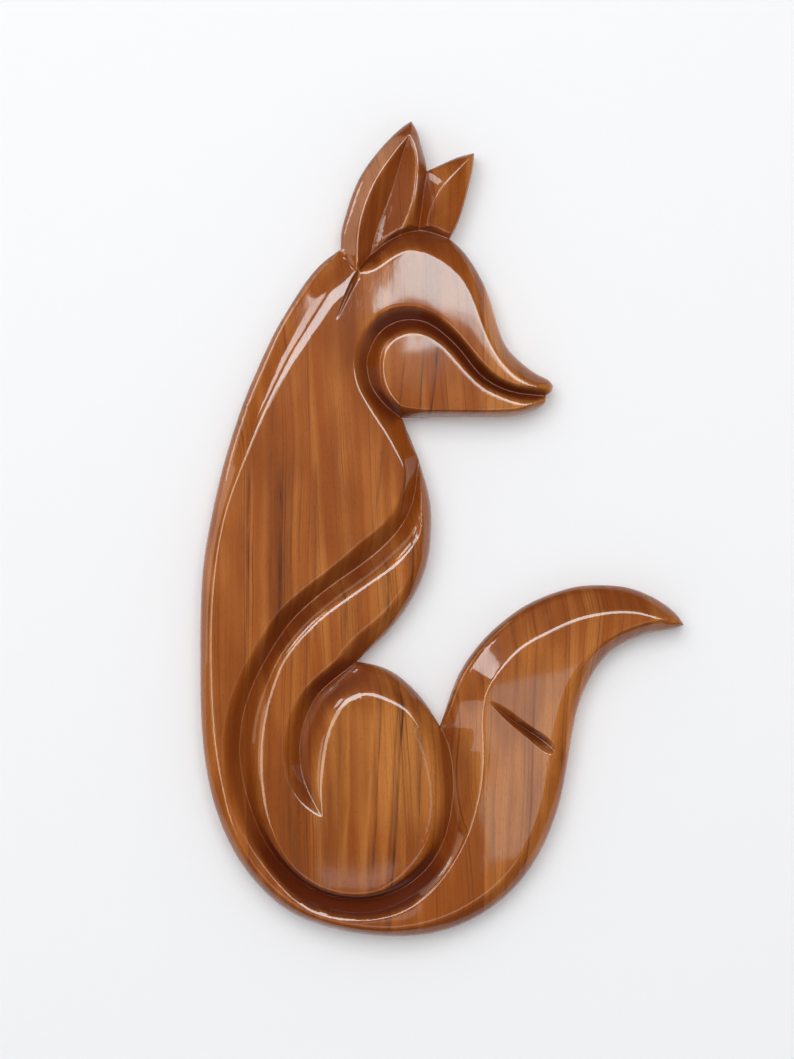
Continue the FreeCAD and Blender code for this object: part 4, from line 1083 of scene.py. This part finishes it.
# Varnished teak, sawn along the grain, carved and sanded: warm brown bands that run upright and
# wander a little, thin dark growth lines, short open pores, and a glossy clear coat over it all.
# The growth rings are planes that stand at a slant in the board, so a carved slope cuts them at
# another place than the flat beside it.
def varnishedTeak(name, wood):
    material, node = freshMaterial("varnished_teak_" + name)
    spot = node("TexCoord", output="Object")
    inMm = node("VectorMath", (spot, (1 / mm, 1 / mm, 1 / mm)), operation="MULTIPLY")
    moved = node("Mapping", {"Vector": inMm, "Location": (wood["seed"] * 7, 0, wood["seed"] * 31)})
    wide, deep, high = (node("SeparateXYZ", (inMm,), output=axis) for axis in range(3))
    smooth = {"interpolation_type": "SMOOTHSTEP"}    # from 0 at the first edge to 1 at the second

    # Patches of noise: the place is divided by their size.
    grain = {}
    for kind, (size, detail, roughness, edges) in teak["patches"].items():
        scaled = node("VectorMath", (moved, tuple(1 / length for length in size)), operation="MULTIPLY")
        grain[kind] = node("TexNoise", {"Vector": scaled, "Scale": 1.0, "Detail": detail,
                                        "Roughness": roughness})
        grain[kind] = node("MapRange", (grain[kind], *edges), **smooth) if edges else grain[kind]

    # Place across the grain: the board's width, leant by the height, tilted by the depth and swayed by
    # noise. Noise along that place alone makes bands with the grain.
    across = wide
    for value, factor in ((high, wood["lean"]), (deep, teak["tilt"]), (grain["slow"], teak["slowWander"]),
                          (grain["quick"], teak["quickWander"])):
        across = node("Math", (value, factor, across), operation="MULTIPLY_ADD")
    seeded = node("Math", (across, wood["seed"] * 13), operation="ADD")
    for kind, (width, detail, edges) in teak["bands"].items():
        scaled = node("Math", (seeded, 1 / width), operation="MULTIPLY")
        band = node("TexNoise", {"W": scaled, "Scale": 1.0, "Detail": detail,
                                 "Roughness": teak["bandRoughness"]}, noise_dimensions="1D")
        grain[kind] = node("MapRange", (band, *edges), **smooth)

    # The paleness at each height comes from a curve over the curve span's heights.
    lowest, highest = teak["curveSpan"]
    rise, level = 1 / (highest - lowest), -lowest / (highest - lowest)
    heightShare = node("Math", (high, rise, level), operation="MULTIPLY_ADD")
    atHeight = node("FloatCurve", {"Factor": 1.0, "Value": heightShare})
    curve = atHeight.node.mapping.curves[0]
    for number, (height, value) in enumerate(wood["pale"]):
        knot = (height * rise + level, value)
        if number in (0, len(wood["pale"]) - 1):
            curve.points[0 if number == 0 else -1].location = knot
        else:
            curve.points.new(*knot)
    atHeight.node.mapping.update()
    parts = teak["paleParts"]
    paleness = parts["all"]
    for value, factor in ((atHeight, parts["height"]), (grain["broad"], parts["bands"]),
                          (grain["cloud"], parts["clouds"])):
        paleness = node("Math", (value, factor, paleness), operation="MULTIPLY_ADD")
    lineBase, lineGain = teak["lineStrength"]
    lineFactor = node("Math", (grain["strength"], lineGain, lineBase), operation="MULTIPLY_ADD")
    layers = [(node("MapRange", (paleness, 0.0, 1.0), **smooth), "pale"),
              (node("Math", (grain["thin"], lineFactor), operation="MULTIPLY"), "deep"),
              (node("Math", (grain["cloud"], teak["cloudStrength"]), operation="MULTIPLY"), "deep")]

    # A streak is strongest on its line, sharp on its right, soft on its left and broken by noise.
    wobble = node("Math", (grain["wobble"], 2 * teak["wobble"], -teak["wobble"]), operation="MULTIPLY_ADD")
    wobbled = node("Math", (wide, wobble), operation="ADD")
    least = teak["brokenLeast"]
    broken = node("Math", (grain["broken"], 1 - least, least), operation="MULTIPLY_ADD")
    (farLeft, core, farRight), (softPart, linePart) = teak["streakSides"], teak["streakParts"]
    fade = teak["streakFade"]
    for middle, level, lean, width, low, top, depth in wood["streaks"]:
        run = node("Math", (high, -lean, wobbled), operation="MULTIPLY_ADD")
        run = node("Math", (deep, teak["tilt"], run), operation="MULTIPLY_ADD")
        atFront = middle - lean * level - board["thickness"] * teak["tilt"]
        side = node("Math", (run, atFront), operation="SUBTRACT")
        away = node("Math", (side,), operation="ABSOLUTE")
        edges = [(side, farLeft * width, core * width), (side, farRight * width, core * width),
                 (away, farRight * width, 0.0), (high, low - fade, low + fade),
                 (high, top + fade, top - fade)]
        left, right, line, bottom, ending = (node("MapRange", row, **smooth) for row in edges)
        soft = node("Math", (left, right), operation="MULTIPLY")
        line = node("Math", (line, linePart), operation="MULTIPLY")
        line = node("Math", (soft, softPart, line), operation="MULTIPLY_ADD")
        for factor in (bottom, ending, broken, abs(depth) * teak["streakStrength"]):
            line = node("Math", (line, factor), operation="MULTIPLY")
        layers.append((line, "streak" if depth > 0 else "golden"))
    layers.append((node("Math", (grain["pores"], teak["poreStrength"]), operation="MULTIPLY"), "streak"))

    # Slopes that cut across the grain show end grain and turn darker. The hollows get painted shade: a
    # dark tone deep in the carving, and a stronger end-grain darkening there, most at the foot and least at
    # the chest.
    facing = node("SeparateXYZ", (node("NewGeometry", output="Normal"),), output=2)
    slant = node("Math", (facing,), operation="ABSOLUTE")
    edges = [(slant, *teak["endGrainEdges"]), (high, *teak["lowEdges"]),
             (high, *teak["chestTopEdges"]), (high, *teak["chestLowEdges"])]
    acrossGrain, lowDown, chestTop, chestLow = (node("MapRange", row, **smooth) for row in edges)
    chest = node("Math", (chestTop, chestLow), operation="MULTIPLY")
    # The painted shade in the hollows is stronger at the foot and weaker at the chest.
    hollowShading = teak["hollowShading"]
    chestShadeFactor = node("Math", (chest, hollowShading["chest"], 1.0), operation="MULTIPLY_ADD")
    # The hollow shade value from the mesh is the mask of the painted shade in the hollows.
    hollow = node("Attribute", output="Fac", attribute_name="hollow")
    hollow = node("Math", (hollow, chestShadeFactor), operation="MULTIPLY")
    endGrainAndShadeShare = node("Math", (lowDown, hollowShading["low"], hollowShading["all"]), operation="MULTIPLY_ADD")
    endGrainAndShadeShare = node("Math", (chest, hollowShading["chest"], endGrainAndShadeShare), operation="MULTIPLY_ADD")
    endGrainAndShadeShare = node("Math", (hollow, endGrainAndShadeShare, teak["endGrainStrength"]), operation="MULTIPLY_ADD")
    layers += [(node("Math", (acrossGrain, endGrainAndShadeShare), operation="MULTIPLY"), "endGrainAndShade"),
               (node("Math", (hollow, teak["hollowStrength"]), operation="MULTIPLY"), "hollowTone")]
    tone = colour(teak["middle"])
    for factor, kind in layers:
        tone = node("Mix", {0: factor, 6: tone, 7: colour(teak[kind])}, output=2, data_type="RGBA")
    fibreLeast, fibreGain = teak["fibreShade"]
    lightness = node("Math", (grain["fibre"], fibreGain, fibreLeast), operation="MULTIPLY_ADD")
    tone = node("VectorMath", {0: tone, 3: lightness}, operation="SCALE")

    # The wood under the varnish is rough and pored, and the varnish over it has faint waves and is
    # duller at the rubbed spot.
    roughLeast, roughGain = teak["woodRoughness"]
    rough = node("Math", (grain["fibre"], roughGain, roughLeast), operation="MULTIPLY_ADD")
    raised = node("Math", (grain["fibre"], teak["fibreRise"]), operation="MULTIPLY")
    raised = node("Math", (grain["pores"], -1.0, raised), operation="MULTIPLY_ADD")
    dent = teak["dentDepth"] * mm
    woodBump = node("Bump", {"Strength": teak["woodRelief"], "Distance": dent, "Height": raised})
    fromRubbed = node("VectorMath", (inMm, teak["rubbedSpot"]), output="Value", operation="DISTANCE")
    rubbed = node("MapRange", (fromRubbed, *teak["rubbedEdges"]), **smooth)
    clean = teak["varnishRoughness"]
    dull = node("Math", (rubbed, teak["rubbedRoughness"] - clean, clean), operation="MULTIPLY_ADD")
    coatHeight = node("Math", (grain["pores"], teak["filledPore"], grain["coat"]), operation="MULTIPLY_ADD")
    coatBump = node("Bump", {"Strength": teak["varnishWave"], "Distance": dent, "Height": coatHeight})
    # The coat's gloss is weaker in the hollows: painted shade on its reflections.
    coat = node("Math", (hollow, teak["hollowVarnish"], 1.0), operation="MULTIPLY_ADD")
    shader = node("BsdfPrincipled", {"Base Color": tone, "Roughness": rough, "IOR": 1.5,
                                     "Specular IOR Level": 0.05, "Normal": woodBump, "Coat IOR": 1.5,
                                     "Coat Weight": coat, "Coat Roughness": dull, "Coat Normal": coatBump})
    node("OutputMaterial", {"Surface": shader})
    return material


for name, wood in staveWood.items():
    pieces[name].data.materials.append(varnishedTeak(name, wood))
print("wood laid on", len(staveWood), "staves")


# What can be changed on the steel: scratches 0.2 mm wide and 6 mm long, zinc patches of 4.5 mm
zinc = {
    "light": "#A9ABAA",
    "dark": "#7F8284",
    "scratchesPerMetre": (5000.0, 5000.0, 160.0),
    "patchesPerMetre": 220.0,
    "roughSpan": (-0.07, 0.08),
    "scratchDepth": 0.05,
    "scratchRelief": 0.15,
    "plate": (1.0, 0.42),
    "screw": (1.1, 0.3),
}


# Mild steel, sheared and brushed, with a thin zinc grey skin: dull metal with fine upright scratches.
def zincSteel(name, brightness, roughness):
    material, node = freshMaterial(name)
    spot = node("TexCoord", output="Object")
    scratches = node("VectorMath", (spot, zinc["scratchesPerMetre"]), operation="MULTIPLY")
    brushed = node("TexNoise", {"Vector": scratches, "Scale": 1.0, "Detail": 2.0})
    patches = node("TexNoise", {"Vector": spot, "Scale": zinc["patchesPerMetre"], "Detail": 3.0})
    tone = node("Mix", {0: patches, 6: colour(zinc["light"], brightness),
                        7: colour(zinc["dark"], brightness)}, output=2, data_type="RGBA")
    smoother, rougher = zinc["roughSpan"]
    rough = node("MapRange", {"Value": brushed, "To Min": roughness + smoother,
                              "To Max": roughness + rougher})
    bump = node("Bump", {"Strength": zinc["scratchRelief"], "Distance": zinc["scratchDepth"] * mm,
                         "Height": brushed})
    shader = node("BsdfPrincipled", {"Metallic": 1.0, "Base Color": tone, "Roughness": rough, "Normal": bump})
    node("OutputMaterial", {"Surface": shader})
    return material


plate = frame["nodes"]["hanger_plate"]
plate.data.materials.clear()
plate.data.materials.append(zincSteel("brushed_zinc_steel_plate", *zinc["plate"]))
screwSteel = zincSteel("turned_zinc_steel_screw", *zinc["screw"])
for name in hanger["screwLevels"]:
    pieces[name].data.materials.append(screwSteel)
print("steel laid on the hanger")

# The wall behind, the lamps and the camera. Lengths are metres. A lamp's place is given as "at", as
# "span" (left, right, low and high of a panel beside the camera, from its middle) or as "turn"
# (degrees clockwise from the top, degrees off the camera's axis, distance from the fox). Only gloss
# rays see a lamp, unless it says diffuse.
studio = {
    "wallColour": "#EFF0F2",
    "wallSize": 3.2,
    "wallCells": 8,
    "wallGap": 0.0012,
    "sensor": 24.0,
    "cameraDistance": 1.8,
    "silhouetteDepth": 0.012,
    "viewHeight": 0.6501,
    "viewMiddle": (0.01054, -0.1434),
    "behindGap": 0.004,
    "airForDiffuse": (0.55, 0.9),
    "airForGloss": (0.06, 0.8),
    "airTurn": 0.05,
    "lampDepth": -0.02,
    "lamps": {
        "softFront": {"at": (-0.28, -2.6, 0.75), "size": (2.8, 2.2), "power": 53.0, "seenIn": "diffuse"},
        "ceilingRight": {"span": (-0.015, 1.1, 0.265, 1.20), "power": 36.0, "colour": "#E8FCFF"},
        "ceilingLeft": {"span": (-1.1, -0.015, 0.45, 1.20), "power": 30.0, "colour": "#EEFAFF"},
        "rightCard": {"span": (0.10, 0.26, -0.412, -0.181), "power": 0.21, "colour": "#D0FBFF"},
        "floorGlowLow": {"span": (-0.107, 0.016, -0.470, -0.428), "power": 0.024},
        "floorGlowHigh": {"span": (-0.098, 0.004, -0.428, -0.412), "power": 0.005},
        "leftWindow": {"turn": (-66, 86, 1.5), "size": (0.7, 1.7), "power": 7.6, "colour": "#FFF6DC"},
        "leftLamp": {"turn": (-54, 52, 1.5), "size": (0.28, 0.34), "power": 2.8},
        "highWindow": {"turn": (-62, 83.3, 1.5), "size": (0.14, 0.53), "power": 1.5},
        "leftCurtain": {"turn": (-98, 45, 1.5), "size": (0.26, 0.40), "power": 0.7},
        "floorCard": {"turn": (180, 24, 1.6), "size": (1.0, 0.35), "power": 2.0},
        "leftStrip": {"turn": (-95, 25, 1.6), "size": (0.5, 0.9), "power": 9.5, "colour": "#FFF6DC"},
    },
    "slantFrom": (0.047, 0.265),
    "slantTo": (0.151, 0.187),
    "slantStrips": 8,
    "slantLastWidth": 0.2,
    "slantPower": 20.0,
}


# A flat sheet as a grid of points on the wall's plane, facing the camera.
def wallSheet():
    cells = studio["wallCells"]
    side = np.linspace(-studio["wallSize"] / 2, studio["wallSize"] / 2, cells + 1)
    x, z = np.meshgrid(side + studio["viewMiddle"][0], side + studio["viewMiddle"][1])
    grid = np.column_stack([x.ravel(), np.full(x.size, studio["wallGap"]), z.ravel()]) / mm
    row, column = (axis.ravel() for axis in np.mgrid[0:cells, 0:cells])
    corner = row * (cells + 1) + column
    return meshFrom("backdrop_wall", grid, quads(corner, corner + 1, corner + cells + 2, corner + cells + 1))


# Painted plaster: flat, very slightly cool white. It lets three kinds of ray through: those that
# meet it from behind, so that the hanger can be seen, diffuse ones, and gloss rays that start closer
# than behindGap. The fox's back so gets the light of the air.
def paintedPlaster():
    material, node = freshMaterial("painted_plaster")
    near = node("Math", (node("LightPath", output="Ray Length"), studio["behindGap"]), operation="LESS_THAN")
    nearGloss = node("Math", (near, node("LightPath", output="Is Glossy Ray")), operation="MULTIPLY")
    unseen = node("Math", (node("NewGeometry", output="Backfacing"),
                           node("LightPath", output="Is Diffuse Ray")), operation="MAXIMUM")
    unseen = node("Math", (unseen, nearGloss), operation="MAXIMUM")
    paint = node("BsdfDiffuse", {"Color": colour(studio["wallColour"])})
    node("OutputMaterial", {"Surface": node("MixShader", (unseen, paint, node("BsdfTransparent")))})
    return material


wall = wallSheet()
wall.data.materials.append(paintedPlaster())
wall.visible_shadow = False


# The turn that points a lamp at the source towards the target.
def turnedTo(source, target):
    return (target - source).to_track_quat("-Z", "Y").to_euler()


# The right ceiling panel's lower edge runs down to the right, as narrow strips with even steps, each
# as bright as its area.
(slantLeft, slantHigh), (slantRight, slantLow) = studio["slantFrom"], studio["slantTo"]
strips = studio["slantStrips"]
for number in range(strips + 1):
    left = slantLeft + number * (slantRight - slantLeft) / strips
    right = left + ((slantRight - slantLeft) / strips if number < strips else studio["slantLastWidth"])
    low = slantHigh + (slantLow - slantHigh) * min(number + 0.5, strips) / strips
    studio["lamps"]["slant_%d" % number] = {
        "span": (left, right, low, slantHigh), "colour": "#E8FCFF",
        "power": studio["slantPower"] * (right - left) * (slantHigh - low)}

viewCentre = Vector((studio["viewMiddle"][0], studio["lampDepth"], studio["viewMiddle"][1]))
for name, lamp in studio["lamps"].items():
    light = bpy.data.lights.new(name, "AREA")
    light.shape = "RECTANGLE"
    light.energy = lamp["power"]
    light.color = colour(lamp.get("colour", "#FFFFFF"))[:3]
    holder = bpy.data.objects.new(name, light)
    if "span" in lamp:
        left, right, low, high = lamp["span"]
        light.size, light.size_y = right - left, high - low
        panel = ((left + right) / 2, -studio["cameraDistance"], (low + high) / 2)
        holder.location = viewCentre + Vector(panel)
        holder.rotation_euler = turnedTo(Vector((0, 0, 0)), Vector((0, 1, 0)))
    else:
        light.size, light.size_y = lamp["size"]
        if "turn" in lamp:
            around, off, far = lamp["turn"]
            around, off = math.radians(around), math.radians(off)
            toward = (math.sin(around) * math.sin(off), -math.cos(off), math.cos(around) * math.sin(off))
            holder.location = viewCentre + far * Vector(toward)
        else:
            holder.location = lamp["at"]
        holder.rotation_euler = turnedTo(holder.location, viewCentre)
    holder.visible_diffuse = "seenIn" in lamp
    holder.visible_glossy = "seenIn" not in lamp
    bpy.context.scene.collection.objects.link(holder)

# The air's light: dim in front and bright behind the fox, set apart for diffuse and gloss rays, while
# the camera sees the wall's colour.
world = bpy.data.worlds.new("studio_air")
bpy.context.scene.world = world
world.use_nodes = True
world.node_tree.nodes.clear()
node = partial(addNode, world.node_tree)
skyDepth = node("SeparateXYZ", (node("TexCoord", output="Generated"),), output=1)
backShare = node("MapRange", (skyDepth, -studio["airTurn"], studio["airTurn"]))
airs = [node("MixRGB", (backShare, colour("#FFFFFF", ahead), colour("#FFFFFF", behind)))
        for ahead, behind in (studio["airForDiffuse"], studio["airForGloss"])]
lit = node("MixRGB", (node("LightPath", output="Is Glossy Ray"), *airs))
air = node("MixRGB", (node("LightPath", output="Is Camera Ray"), lit, colour(studio["wallColour"])))
node("OutputWorld", {"Surface": node("Background", {"Color": air})})

# The camera looks straight on. Its lens is the sensor times the distance over the height in view.
camera = bpy.data.cameras.new("straightOn")
camera.sensor_fit = "VERTICAL"
camera.sensor_height = studio["sensor"]
camera.lens = studio["sensor"] * studio["cameraDistance"] / studio["viewHeight"]
camera.clip_end = 20.0
eye = bpy.data.objects.new("straightOn", camera)
eye.location = (viewCentre.x, -studio["cameraDistance"] - studio["silhouetteDepth"], viewCentre.z)
eye.rotation_euler = (math.pi / 2, 0, 0)
bpy.context.scene.collection.objects.link(eye)
bpy.context.scene.camera = eye
bpy.context.scene.view_settings.view_transform = "Standard"
print("wall, lamps and camera set")
